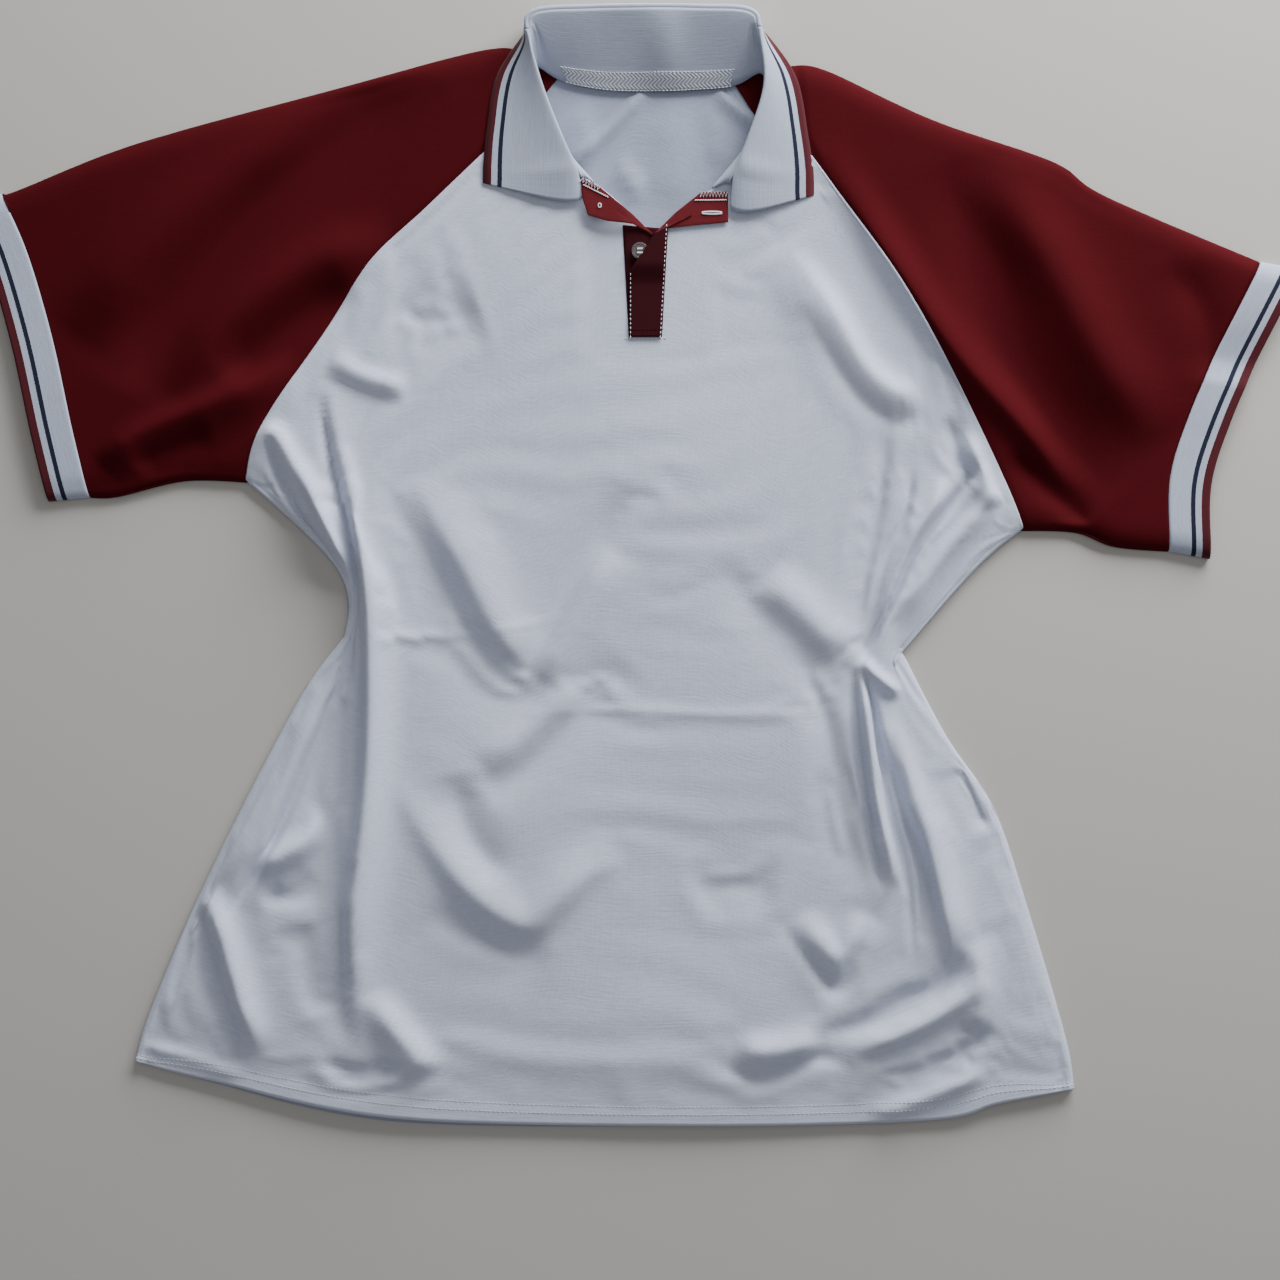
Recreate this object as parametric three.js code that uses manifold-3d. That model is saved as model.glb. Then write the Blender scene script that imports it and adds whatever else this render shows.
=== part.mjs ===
// Short-sleeved raglan polo shirt, laid flat on its back with the front facing up.
// Millimetres. +Z is up, +Y runs towards the collar, +X towards the wearer's left arm.
// The origin is the middle of the footprint, on the surface that the shirt lies on.
import * as THREE from 'three';
import { mergeVertices } from 'three/addons/utils/BufferGeometryUtils.js';
import Module from 'manifold-3d';

const wasm = await Module();
wasm.setup();

// ---------------------------------------------------------------- cloth and clearances
const jersey = 1.0;            // thickness of the body and sleeve cloth
const ribKnit = 1.2;           // thickness of the collar and cuff knit
const bandCloth = 0.9;         // thickness of a placket band
const tapeCloth = 0.7;         // thickness of the neck tape
const hemBulk = 0.4;           // how much a turned hem is thicker than one layer
const layerGap = 0.3;          // air between two layers that lie on each other
const seamGap = 0.6;           // plan gap between pieces that are sewn edge to edge
const roomInside = 5.2;        // extra height of the front over the back, away from the edges
const edgeRamp = 25;           // width over which the front comes down to a closed edge

// ---------------------------------------------------------------- body
const neckSeamY = 316;         // the back neck seam
const bodyLength = 676;        // back neck seam to the lowest point of the hem
const chestWidth = 502;        // armpit to armpit
const waistWidth = 362;        // across the drawn-in waist
const hemWidth = 609;          // corner to corner
const hemDepth = 20;
const chestCentre = 3;         // the middle of each line, as the shirt happens to lie
const waistCentre = -4.5;
const hemCentre = -16.5;
const hemBows = [[0.08, -11], [0.28, -32], [0.61, -31], [0.85, -23], [0.92, -11]];

// ---------------------------------------------------------------- sleeves
const cuffDepth = 27;
const foldClearance = 0.6;     // height of the sleeve's fold line above the cloth

// The two sides lie a little differently. Angles are in degrees. A bow is
// [share of the way along the edge, sideways offset].
const sides = [
  {
    name: 'right', sign: -1,
    armpitDrop: 259.5, waistDrop: 360, hemRise: 41,
    neckPoint: [-64, 331], raglanTop: [-71.5, 290],
    sleeveLength: 354, sleeveFall: 14.4, cuffWidth: 204, cuffLean: 16.1, cuffFall: 5,
    foldAtShoulder: 0.5, foldAtUnderarm: 0.14,
    raglanBows: [[0.08, -4], [0.27, -13], [0.44, -21], [0.64, -17], [0.88, -13]],
    shoulderBows: [[0.07, -12.5], [0.36, -12.3], [0.74, -10], [0.97, 0]],
    cuffBows: [[0.2, 5.6], [0.49, 5.9], [0.78, 2.1]],
    underarmBows: [[0.42, -5.3], [0.84, 0.9]],
    flankBows: [[0.4, 14], [0.67, 19.5], [0.86, 14]],
    skirtBows: [[0.14, -7.6], [0.4, -10.5], [0.67, -9.8], [0.9, -5.3]],
  },
  {
    name: 'left', sign: 1,
    armpitDrop: 290.5, waistDrop: 370, hemRise: 23,
    neckPoint: [103, 326], raglanTop: [107, 279.5],
    sleeveLength: 331, sleeveFall: 22.6, cuffWidth: 196, cuffLean: 17.6, cuffFall: 10,
    foldAtShoulder: 0.45, foldAtUnderarm: 0.14,
    raglanBows: [[0.13, 4], [0.38, 10.7], [0.63, 10.4], [0.88, 5]],
    shoulderBows: [[0.07, 6.6], [0.3, 3.6], [0.55, 8.5], [0.67, 1]],
    cuffBows: [[0.32, -9.7], [0.57, -14.7], [0.78, -13.8]],
    underarmBows: [[0.39, 4.1], [0.65, -1.6]],
    flankBows: [[0.34, -3.5]],
    skirtBows: [[0.2, 6.6], [0.38, 18], [0.6, 15], [0.89, 7]],
  },
];

// ---------------------------------------------------------------- neck and placket
const placketLength = 66;      // below the point of the V
const placketWidth = 21.5;     // at its foot
const placketSpread = 8;       // how much wider it is at the V
const placketFootX = 10;       // middle of the foot
const vBottom = new THREE.Vector2(15.6, 216);
const flapReach = { right: new THREE.Vector2(-17.6, 246.4), left: new THREE.Vector2(43.6, 240) };

// ---------------------------------------------------------------- collar
const rollHeightBack = 22;
const rollHeightFront = 11;
const collarSeat = 8.8;        // middle height of the leaves' outer edges on the sleeves
const tapeShare = 0.32;        // share of the stand's height that the neck tape covers

// ---------------------------------------------------------------- buttons
const buttonDiameter = 11;
const buttonThickness = 2;
const buttonRim = 0.5;         // height of the raised rim
const buttonHole = 1.7;
const buttonHoleSpacing = 2.6;
const threadThickness = 0.9;
const shankHeight = 0.8;
const lowerButtonAt = new THREE.Vector2(6.5, 205.4);
const upperButtonAt = new THREE.Vector2(-18, 235);
const buttonholeLength = 13;
const buttonholeWidth = 2.6;

// ---------------------------------------------------------------- mesh fineness
const skirtRows = 9;           // hem to waist
const flankRows = 5;           // waist to armpit
const raglanRows = 10;         // armpit to neck
const neckRows = 2;            // the sleeve's own short edge at the neck
const halfColumns = 12;        // each side of the placket
const sleeveStations = 9;
const cuffStations = 2;

// ================================================================ curves in plan
const degrees = Math.PI / 180;
const hemY = neckSeamY - bodyLength;

function point([x, y]) {
  return new THREE.Vector2(x, y);
}

// A smooth curve from start to end that passes through the bows.
function bowed(start, end, bows) {
  const along = end.clone().sub(start);
  const sideways = new THREE.Vector2(-along.y, along.x).normalize();
  const between = bows.map(([share, offset]) => (
    start.clone().addScaledVector(along, share).addScaledVector(sideways, offset)
  ));
  return new THREE.SplineCurve([start, ...between, end]);
}

// The stretch of a curve from one parameter to another, as a function of 0 to 1.
function stretch(curve, from, to) {
  return (t) => curve.getPoint(from + (to - from) * t);
}

function shifted(run, dx, dy = 0) {
  return (t) => run(t).add(new THREE.Vector2(dx, dy));
}

function straight(start, end) {
  return (t) => start.clone().lerp(end, t);
}

// Corners and edges of one side, from the driving dimensions.
function layOut(side) {
  const fall = side.sleeveFall * degrees;
  const lean = side.cuffLean * degrees;
  side.armpit = new THREE.Vector2(chestCentre + side.sign * chestWidth / 2, neckSeamY - side.armpitDrop);
  side.waist = new THREE.Vector2(waistCentre + side.sign * waistWidth / 2, neckSeamY - side.waistDrop);
  side.hemCorner = new THREE.Vector2(hemCentre + side.sign * hemWidth / 2, hemY + side.hemRise);
  side.neck = point(side.neckPoint);
  side.top = point(side.raglanTop);
  side.cuffTop = side.neck.clone().add(
    new THREE.Vector2(side.sign * Math.cos(fall), -Math.sin(fall)).multiplyScalar(side.sleeveLength));
  side.cuffBottom = side.cuffTop.clone().add(
    new THREE.Vector2(-side.sign * Math.sin(lean), -Math.cos(lean)).multiplyScalar(side.cuffWidth));
  side.raglan = bowed(side.top, side.armpit, side.raglanBows);
  side.flank = bowed(side.armpit, side.waist, side.flankBows);
  side.skirt = bowed(side.waist, side.hemCorner, side.skirtBows);
  side.shoulder = bowed(side.neck, side.cuffTop, side.shoulderBows);
  side.underarm = bowed(side.armpit, side.cuffBottom, side.underarmBows);
  side.cuff = bowed(side.cuffTop, side.cuffBottom, side.cuffBows);
  side.foldTop = side.shoulder.getPoint(side.foldAtShoulder);
  side.foldBottom = side.underarm.getPoint(side.foldAtUnderarm);
}
sides.forEach(layOut);
const [right, left] = sides;
const hem = bowed(right.hemCorner, left.hemCorner, hemBows);

// ================================================================ the height of the front
const closedEdges = sides.flatMap((side) => [side.flank, side.skirt, side.shoulder, side.underarm])
  .map((curve) => curve.getPoints(24));

function distanceToSegment(p, a, b) {
  const ab = b.clone().sub(a);
  const share = THREE.MathUtils.clamp(p.clone().sub(a).dot(ab) / ab.lengthSq(), 0, 1);
  return p.distanceTo(a.clone().addScaledVector(ab, share));
}

function distanceToClosedEdge(p) {
  let nearest = Infinity;
  for (const edge of closedEdges) {
    for (let i = 1; i < edge.length; i++) {
      nearest = Math.min(nearest, distanceToSegment(p, edge[i - 1], edge[i]));
    }
  }
  return nearest;
}

// Underside of the front layer: close to the back at the closed edges, clear of it elsewhere.
function frontUnderside(p) {
  const lift = THREE.MathUtils.smoothstep(distanceToClosedEdge(p), 0, edgeRamp);
  return jersey + layerGap + roomInside * lift;
}
const frontTop = jersey + layerGap + roomInside + jersey;

// ================================================================ solids
function evenly(count) {
  return Array.from({ length: count + 1 }, (_, i) => i / count);
}

// Four-sided patch between a lower, an upper, a left and a right edge.
function patch(lower, upper, leftEdge, rightEdge) {
  const c00 = lower(0);
  const c10 = lower(1);
  const c01 = upper(0);
  const c11 = upper(1);
  return (u, v) => {
    const p = lower(u).clone().multiplyScalar(1 - v);
    p.addScaledVector(upper(u), v);
    p.addScaledVector(leftEdge(v), 1 - u);
    p.addScaledVector(rightEdge(v), u);
    p.addScaledVector(c00, -(1 - u) * (1 - v));
    p.addScaledVector(c10, -u * (1 - v));
    p.addScaledVector(c01, -(1 - u) * v);
    p.addScaledVector(c11, -u * v);
    return p;
  };
}

function geometryFrom(vertices, triangles) {
  const geometry = new THREE.BufferGeometry();
  geometry.setAttribute('position', new THREE.Float32BufferAttribute(vertices.flatMap((p) => [p.x, p.y, p.z]), 3));
  geometry.setIndex(facingOut(vertices, triangles));
  return geometry;
}

// Turns every triangle round if the surface encloses a negative volume.
function facingOut(vertices, triangles) {
  let volume = 0;
  for (let i = 0; i < triangles.length; i += 3) {
    const [a, b, c] = [vertices[triangles[i]], vertices[triangles[i + 1]], vertices[triangles[i + 2]]];
    volume += a.dot(new THREE.Vector3().crossVectors(b, c));
  }
  return volume > 0 ? triangles : triangles.slice().reverse();
}

// A closed sheet between two grids of points, given row by row.
function sheetSolid(upper, under) {
  const rows = upper.length;
  const columns = upper[0].length;
  const vertices = [...upper.flat(), ...under.flat()];
  const half = rows * columns;
  const triangles = [];
  const quad = (a, b, c, d) => triangles.push(a, b, c, a, c, d);
  const at = (row, column) => row * columns + column;
  for (let row = 0; row < rows - 1; row++) {
    for (let column = 0; column < columns - 1; column++) {
      const ring = [at(row, column), at(row, column + 1), at(row + 1, column + 1), at(row + 1, column)];
      quad(...ring);
      quad(...ring.map((i) => i + half).reverse());
    }
  }
  const rim = [
    ...evenly(columns - 1).slice(0, -1).map((_, i) => at(0, i)),
    ...evenly(rows - 1).slice(0, -1).map((_, i) => at(i, columns - 1)),
    ...evenly(columns - 1).slice(0, -1).map((_, i) => at(rows - 1, columns - 1 - i)),
    ...evenly(rows - 1).slice(0, -1).map((_, i) => at(rows - 1 - i, 0)),
  ];
  rim.forEach((a, i) => {
    const b = rim[(i + 1) % rim.length];
    quad(b, a, a + half, b + half);
  });
  return geometryFrom(vertices, triangles);
}

// Cloth over a plan patch, with its underside at a height given for each point.
function layer(plan, us, vs, thickness, undersideAt) {
  const under = vs.map((v) => us.map((u) => {
    const p = plan(u, v);
    return new THREE.Vector3(p.x, p.y, undersideAt(p));
  }));
  const upper = under.map((row) => row.map((p) => p.clone().add(new THREE.Vector3(0, 0, thickness))));
  return sheetSolid(upper, under);
}

// Cloth of even thickness about a curved middle surface, given as rows of points.
function shell(middle, thickness) {
  const rows = middle.length;
  const columns = middle[0].length;
  const normalAt = (row, column) => {
    const across = middle[row][Math.min(column + 1, columns - 1)].clone().sub(middle[row][Math.max(column - 1, 0)]);
    const along = middle[Math.min(row + 1, rows - 1)][column].clone().sub(middle[Math.max(row - 1, 0)][column]);
    return across.cross(along).normalize();
  };
  const offset = (distance) => middle.map((points, row) => points.map((p, column) => (
    p.clone().addScaledVector(normalAt(row, column), distance)
  )));
  return sheetSolid(offset(thickness / 2), offset(-thickness / 2));
}

// A flattened tube of cloth over a plan patch: u runs along the tube, v across it.
function flatTube(plan, stations, vs, thickness, undersideAt) {
  const ring = (u, wall, raise, floor) => {
    const width = plan(u, 0).distanceTo(plan(u, 1));
    const inset = wall / width;
    const across = vs.map((v) => plan(u, inset + v * (1 - 2 * inset)));
    const front = across.map((p) => new THREE.Vector3(p.x, p.y, undersideAt(p) + raise));
    const back = across.slice().reverse().map((p) => new THREE.Vector3(p.x, p.y, floor));
    return [...front, ...back];
  };
  const outer = stations.map((u) => ring(u, 0, thickness, 0));
  const inner = stations.map((u) => ring(u, thickness, 0, thickness));
  const count = outer[0].length;
  const half = stations.length * count;
  const vertices = [...outer.flat(), ...inner.flat()];
  const triangles = [];
  const quad = (a, b, c, d) => triangles.push(a, b, c, a, c, d);
  for (let i = 0; i < count; i++) {
    const next = (i + 1) % count;
    for (let s = 0; s < stations.length - 1; s++) {
      const [a, b, c, d] = [s * count + i, s * count + next, (s + 1) * count + next, (s + 1) * count + i];
      quad(a, b, c, d);
      quad(d + half, c + half, b + half, a + half);
    }
    const last = (stations.length - 1) * count;
    quad(next, i, i + half, next + half);
    quad(last + i, last + next, last + next + half, last + i + half);
  }
  return geometryFrom(vertices, triangles);
}

// A flat plate from a plan outline, with its underside at z0, tilted by a height function.
function plate(outline, thickness, undersideAt) {
  const geometry = new THREE.ExtrudeGeometry(new THREE.Shape(outline), {
    depth: thickness, bevelEnabled: false, steps: 1,
  });
  const positions = geometry.attributes.position;
  for (let i = 0; i < positions.count; i++) {
    const p = new THREE.Vector2(positions.getX(i), positions.getY(i));
    positions.setZ(i, positions.getZ(i) + undersideAt(p));
  }
  return geometry;
}

// ================================================================ joins and cuts
function toSolid(geometry) {
  const bare = geometry.clone();
  bare.deleteAttribute('normal');
  bare.deleteAttribute('uv');
  const merged = mergeVertices(bare, 1e-4);
  return new wasm.Manifold(new wasm.Mesh({
    numProp: 3,
    vertProperties: new Float32Array(merged.attributes.position.array),
    triVerts: new Uint32Array(merged.index.array),
  }));
}

function toGeometry(solid) {
  const mesh = solid.getMesh();
  const geometry = new THREE.BufferGeometry();
  geometry.setAttribute('position', new THREE.BufferAttribute(mesh.vertProperties, 3));
  geometry.setIndex(new THREE.BufferAttribute(mesh.triVerts, 1));
  return geometry;
}

function cut(geometry, ...tools) {
  return toGeometry(tools.reduce((solid, tool) => solid.subtract(toSolid(tool)), toSolid(geometry)));
}

function join(geometry, ...others) {
  return toGeometry(others.reduce((solid, other) => solid.add(toSolid(other)), toSolid(geometry)));
}

// ================================================================ materials
const finishes = {
  whiteJersey: { color: 0xd6d9e2, roughness: 0.85, metalness: 0 },
  maroonJersey: { color: 0x551920, roughness: 0.85, metalness: 0 },
  whiteRib: { color: 0xdfe2ea, roughness: 0.9, metalness: 0 },
  maroonBand: { color: 0x4a1218, roughness: 0.8, metalness: 0 },
  brightBand: { color: 0x8a2026, roughness: 0.85, metalness: 0 },
  whiteThread: { color: 0xe8e9ee, roughness: 0.7, metalness: 0 },
  clearPlastic: { color: 0xcfc6c4, roughness: 0.15, metalness: 0 },
};

const shirt = new THREE.Group();

function addPiece(name, geometry, finish) {
  const mesh = new THREE.Mesh(geometry, new THREE.MeshStandardMaterial(finishes[finish]));
  mesh.name = name;
  shirt.add(mesh);
  return mesh;
}

// ================================================================ body panels
const waistShare = 0.455;      // rows of the body patch: 0 at the hem, 1 at the neck
const armpitShare = 0.6;
const hemShare = hemDepth / (left.skirt.getLength() + left.flank.getLength()) * armpitShare;

// The body's edge on one side, from the hem corner up to the neck.
function bodyEdge(side) {
  return (v) => {
    if (v <= waistShare) return side.skirt.getPoint(1 - v / waistShare);
    if (v <= armpitShare) return side.flank.getPoint(1 - (v - waistShare) / (armpitShare - waistShare));
    const p = side.raglan.getPoint(1 - (v - armpitShare) / (1 - armpitShare));
    return p.add(new THREE.Vector2(-side.sign * seamGap / 2, 0));
  };
}

// The front's neck edge: down one side of the V and up the other.
const vShare = 0.487;
const neckRight = new THREE.SplineCurve([
  right.top.clone().add(new THREE.Vector2(seamGap / 2, 0)), new THREE.Vector2(-45, 263), flapReach.right, vBottom,
]);
const neckLeft = new THREE.SplineCurve([
  vBottom, flapReach.left, new THREE.Vector2(72, 257), left.top.clone().add(new THREE.Vector2(-seamGap / 2, 0)),
]);

function frontNeck(u) {
  return u <= vShare ? neckRight.getPoint(u / vShare) : neckLeft.getPoint((u - vShare) / (1 - vShare));
}

const bodyColumns = [
  ...evenly(halfColumns).map((t) => t * vShare),
  ...evenly(halfColumns).slice(1).map((t) => vShare + t * (1 - vShare)),
];
const bodyRows = [
  ...evenly(skirtRows).map((t) => hemShare + t * (waistShare - hemShare)),
  ...evenly(flankRows).slice(1).map((t) => waistShare + t * (armpitShare - waistShare)),
  ...evenly(raglanRows).slice(1).map((t) => armpitShare + t * (1 - armpitShare)),
];
const frontPlan = patch((u) => hem.getPoint(u), frontNeck, bodyEdge(right), bodyEdge(left));
const hemSeamShare = seamGap / bodyLength;

// Outline of the placket, with room round it where it sits in the front.
function placketOutline(room) {
  const foot = vBottom.y - placketLength;
  const half = placketWidth / 2;
  const topHalf = half + placketSpread / 2;
  return [
    new THREE.Vector2(placketFootX - half - room, foot - room),
    new THREE.Vector2(placketFootX + half + room, foot - room),
    new THREE.Vector2(placketFootX + topHalf + room, vBottom.y + 6 + room),
    new THREE.Vector2(vBottom.x, vBottom.y + room),
    new THREE.Vector2(placketFootX - topHalf - room, vBottom.y + 6 + room),
  ];
}

function makeFrontPanel() {
  const rows = [bodyRows[0] + hemSeamShare, ...bodyRows.slice(1)];
  const whole = layer(frontPlan, bodyColumns, rows, jersey, frontUnderside);
  const slot = plate(placketOutline(seamGap / 2), 4 * frontTop, () => -frontTop);
  addPiece('front_panel', cut(whole, slot), 'whiteJersey');
}

function makeFrontHem() {
  const solid = layer(frontPlan, bodyColumns, [0, hemShare / 2, hemShare], jersey + hemBulk, frontUnderside);
  addPiece('front_hem', solid, 'whiteJersey');
}

// The back has the front's outline, with a shallow neck in place of the V.
function makeBackPanel() {
  const neck = new THREE.QuadraticBezierCurve(
    new THREE.Vector2(right.neck.x + 8, neckSeamY - 2),
    new THREE.Vector2((right.neck.x + left.neck.x) / 2, neckSeamY - 8),
    new THREE.Vector2(left.neck.x - 8, neckSeamY - 2),
  );
  const rightEdge = bodyRows.map((v) => bodyEdge(right)(v));
  const leftEdge = bodyRows.map((v) => bodyEdge(left)(v));
  const bottom = bodyColumns.map((u) => frontPlan(u, hemShare + hemSeamShare));
  const outline = [...bottom, ...leftEdge.slice(1), ...neck.getPoints(8).reverse(), ...rightEdge.slice(1).reverse()];
  addPiece('back_panel', plate(outline, jersey, () => 0), 'whiteJersey');
}

function makeBackHem() {
  const rows = [0, hemShare];
  addPiece('back_hem', layer(frontPlan, bodyColumns, rows, jersey, () => 0), 'whiteJersey');
}

// ================================================================ sleeves and cuffs
const raglanShare = 0.875;
const sleeveRows = [
  ...evenly(raglanRows).map((t) => t * raglanShare),
  ...evenly(neckRows).slice(1).map((t) => raglanShare + t * (1 - raglanShare)),
];

// The sleeve's edge on the body: up the raglan seam, then along its own part of the neck.
function sleeveRoot(side) {
  return (v) => {
    const p = v <= raglanShare
      ? side.raglan.getPoint(1 - v / raglanShare)
      : side.top.clone().lerp(side.neck, (v - raglanShare) / (1 - raglanShare));
    return p.add(new THREE.Vector2(side.sign * seamGap / 2, 0));
  };
}

// The part of the sleeve inside its fold line, which stays with the body.
function makeSleeveShoulder(side) {
  const inwards = -side.sign * seamGap / 2;
  const plan = patch(
    shifted(stretch(side.underarm, 0, side.foldAtUnderarm), -inwards),
    shifted(stretch(side.shoulder, 0, side.foldAtShoulder), -inwards),
    sleeveRoot(side),
    shifted(straight(side.foldBottom, side.foldTop), -inwards),
  );
  addPiece(`${side.name}_sleeve_shoulder`,
    flatTube(plan, evenly(sleeveStations), sleeveRows, jersey, frontUnderside), 'maroonJersey');
}

// The part of the sleeve that folds over.
function makeSleeveArm(side) {
  const outwards = side.sign * seamGap * 1.5;
  const cuffUp = stretch(side.cuff, 1, 0);
  const plan = patch(
    shifted(stretch(side.underarm, side.foldAtUnderarm, 1), outwards),
    shifted(stretch(side.shoulder, side.foldAtShoulder, 1), outwards),
    shifted(straight(side.foldBottom, side.foldTop), outwards),
    shifted(cuffUp, outwards),
  );
  addPiece(`${side.name}_sleeve_arm`,
    flatTube(plan, evenly(sleeveStations), sleeveRows, jersey, frontUnderside), 'maroonJersey');
}

function makeCuff(side) {
  const start = side.sign * seamGap * 2.5;
  const fall = side.cuffFall * degrees;
  const reach = new THREE.Vector2(side.sign * Math.cos(fall), -Math.sin(fall)).multiplyScalar(cuffDepth);
  const seam = shifted(stretch(side.cuff, 1, 0), start);
  const edge = shifted(seam, reach.x, reach.y);
  const plan = patch(straight(seam(0), edge(0)), straight(seam(1), edge(1)), seam, edge);
  addPiece(`${side.name}_cuff`,
    flatTube(plan, evenly(cuffStations), sleeveRows, ribKnit, frontUnderside), 'whiteRib');
}

// ================================================================ collar
// Nine stations run from the right front end round the back to the left front end:
// the neck seam that the collar stands on, and the roll where it turns over.
const standFoot = [
  [-21.5, 250], [-50, 281], [-60, 304], [-48, 310], [13, 307], [74, 310], [88, 303], [80, 280], [51, 246],
];
const rollLine = [
  [-31.5, 252], [-44, 280], [-57.5, 312], [-63, 345], [10, 357], [80, 347], [86.5, 312], [76, 277], [64.5, 249],
];

function rollHeight(share) {
  const towardsBack = Math.sin(Math.PI * share);
  return rollHeightFront + (rollHeightBack - rollHeightFront) * Math.sqrt(towardsBack);
}

function footHeight(share) {
  const nearBack = 1 - THREE.MathUtils.smoothstep(Math.abs(share - 0.5), 0.1, 0.25);
  const onFront = frontTop + layerGap + ribKnit / 2 + 0.4;
  return THREE.MathUtils.lerp(onFront, jersey + layerGap + ribKnit + 0.5, nearBack);
}

function spaceCurve(points, heightAt) {
  const last = points.length - 1;
  return new THREE.CatmullRomCurve3(points.map(([x, y], i) => new THREE.Vector3(x, y, heightAt(i / last))));
}
const footCurve = spaceCurve(standFoot, footHeight);
const rollCurve = spaceCurve(rollLine, rollHeight);

// Rows of the collar stand between two shares of its height.
function standRows(shares, from, to, columns) {
  return shares.map((w) => evenly(columns).map((t) => {
    const s = from + (to - from) * t;
    return footCurve.getPoint(s).lerp(rollCurve.getPoint(s), w);
  }));
}

function makeCollarStand() {
  addPiece('collar_stand', shell(standRows(evenly(4), 0, 1, 40), ribKnit), 'whiteRib');
}

function makeNeckTape() {
  const rows = standRows([0.03, tapeShare / 2, tapeShare], 0.385, 0.615, 14);
  const clear = ribKnit / 2 + layerGap + tapeCloth / 2;
  rows.forEach((row) => row.forEach((p) => p.add(new THREE.Vector3(0, -0.45, 1).multiplyScalar(clear))));
  addPiece('neck_tape', shell(rows, tapeCloth), 'whiteRib');
}

// One leaf: from the roll out to the striped edge that lies on the sleeve. Its front end
// reaches past the stand; from there back its inner edge runs beside the roll.
const leafGap = ribKnit + layerGap;
const leafStart = 0.03;        // share of the collar's length where a leaf meets the roll
const leafEnd = 0.36;          // and where it gives way to the back leaf
const endShare = 0.125;        // part of the leaf that lies in front of the stand
const leaves = {
  right: {
    outwards: -1,
    frontEnd: [-31, 240],
    edge: [[-95, 250], [-94.5, 262], [-92.5, 284], [-88, 314], [-73, 344]],
  },
  left: {
    outwards: 1,
    frontEnd: [66.5, 233],
    edge: [[122, 246], [120, 258], [115, 281], [109, 314], [92, 344]],
  },
};

function besideRoll(leaf, share) {
  const s = leaf.outwards < 0 ? share : 1 - share;
  const along = rollCurve.getTangent(s);
  const aside = new THREE.Vector3(-along.y, along.x, 0).setLength(leafGap);
  return rollCurve.getPoint(s).add(aside);
}

function leafRoll(leaf, t) {
  const [x, y] = leaf.frontEnd;
  const front = new THREE.Vector3(x, y, rollHeightFront - 0.5);
  if (t < endShare) return front.lerp(besideRoll(leaf, leafStart), t / endShare);
  return besideRoll(leaf, THREE.MathUtils.mapLinear(t, endShare, 1, leafStart, leafEnd));
}

function makeCollarLeaf(name) {
  const leaf = leaves[name];
  const backRise = rollHeightBack - collarSeat - 6;
  const edge = spaceCurve(leaf.edge, (t) => collarSeat + backRise * t ** 6);
  const rows = evenly(5).map((w) => evenly(16).map((t) => leafRoll(leaf, t).lerp(edge.getPoint(t), w)));
  addPiece(`${name}_collar_leaf`, shell(rows, ribKnit), 'whiteRib');
}

// Behind the neck the leaf turns down and under, and lies on the table.
function makeBackLeaf() {
  const turn = [[1.4, 0], [3, -8], [1.5, -15]];
  const flat = [-8, -27];
  const tableHeight = ribKnit / 2 + 0.1;
  const shares = evenly(16).map((t) => 0.395 + 0.21 * t);
  const rows = [
    ...turn.map(([dy, dz]) => shares.map((s) => rollCurve.getPoint(s).add(new THREE.Vector3(0, dy, dz)))),
    ...flat.map((dy) => shares.map((s) => {
      const p = rollCurve.getPoint(s);
      return new THREE.Vector3(p.x, p.y + dy, tableHeight);
    })),
  ];
  addPiece('back_collar_leaf', shell(rows, ribKnit), 'whiteRib');
}

// ================================================================ placket
function makeUnderBand() {
  addPiece('placket_under_band', plate(placketOutline(0), bandCloth, frontUnderside), 'maroonBand');
}

// The upper band rises over the lower button and turns back at a slant beside it.
const overBandRise = shankHeight + 2 * layerGap + buttonThickness + buttonRim;
function overBandHeight(p) {
  const start = lowerButtonAt.y - buttonDiameter * 2.2;
  const rise = THREE.MathUtils.smoothstep(p.y, start, lowerButtonAt.y - buttonDiameter * 0.7);
  return frontTop + layerGap + overBandRise * rise;
}

function makeOverBand() {
  const outline = placketOutline(0);
  const slantStart = new THREE.Vector2(outline[0].x, lowerButtonAt.y - 14);
  const slantEnd = new THREE.Vector2(vBottom.x, vBottom.y - 0.5);
  const leftEdge = (v) => (v < 0.6
    ? outline[0].clone().lerp(slantStart, v / 0.6)
    : slantStart.clone().lerp(slantEnd, (v - 0.6) / 0.4));
  const rightEdge = straight(outline[1], outline[2]);
  const plan = patch(straight(outline[0], outline[1]), straight(slantEnd, outline[2]), leftEdge, rightEdge);
  addPiece('placket_over_band', layer(plan, evenly(4), evenly(15), bandCloth, overBandHeight), 'maroonBand');
}

// The bands' top corners are turned back on the front. The right one lies over its button.
const rightFlapOutline = [[-28.5, 239.5], [-26.7, 227.5], [-15.6, 226.9], [3.3, 223.8], [14.5, 217.5], [-17.6, 246]];
const leftFlapOutline = [[43.6, 239.5], [63.5, 240], [63.5, 232.5], [61.8, 223.6], [36.4, 222.3], [17, 217]];
const buttonRoom = shankHeight + 2 * layerGap + buttonThickness + buttonRim;

function rightFlapHeight(p) {
  const rise = THREE.MathUtils.smoothstep(vBottom.x - p.x, 4, 22);
  return frontTop + layerGap + buttonRoom * rise;
}

function makeFlaps() {
  addPiece('right_placket_flap', plate(rightFlapOutline.map(point), bandCloth, rightFlapHeight), 'brightBand');
  addPiece('left_placket_flap', plate(leftFlapOutline.map(point), bandCloth, () => frontTop + layerGap), 'brightBand');
}

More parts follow.
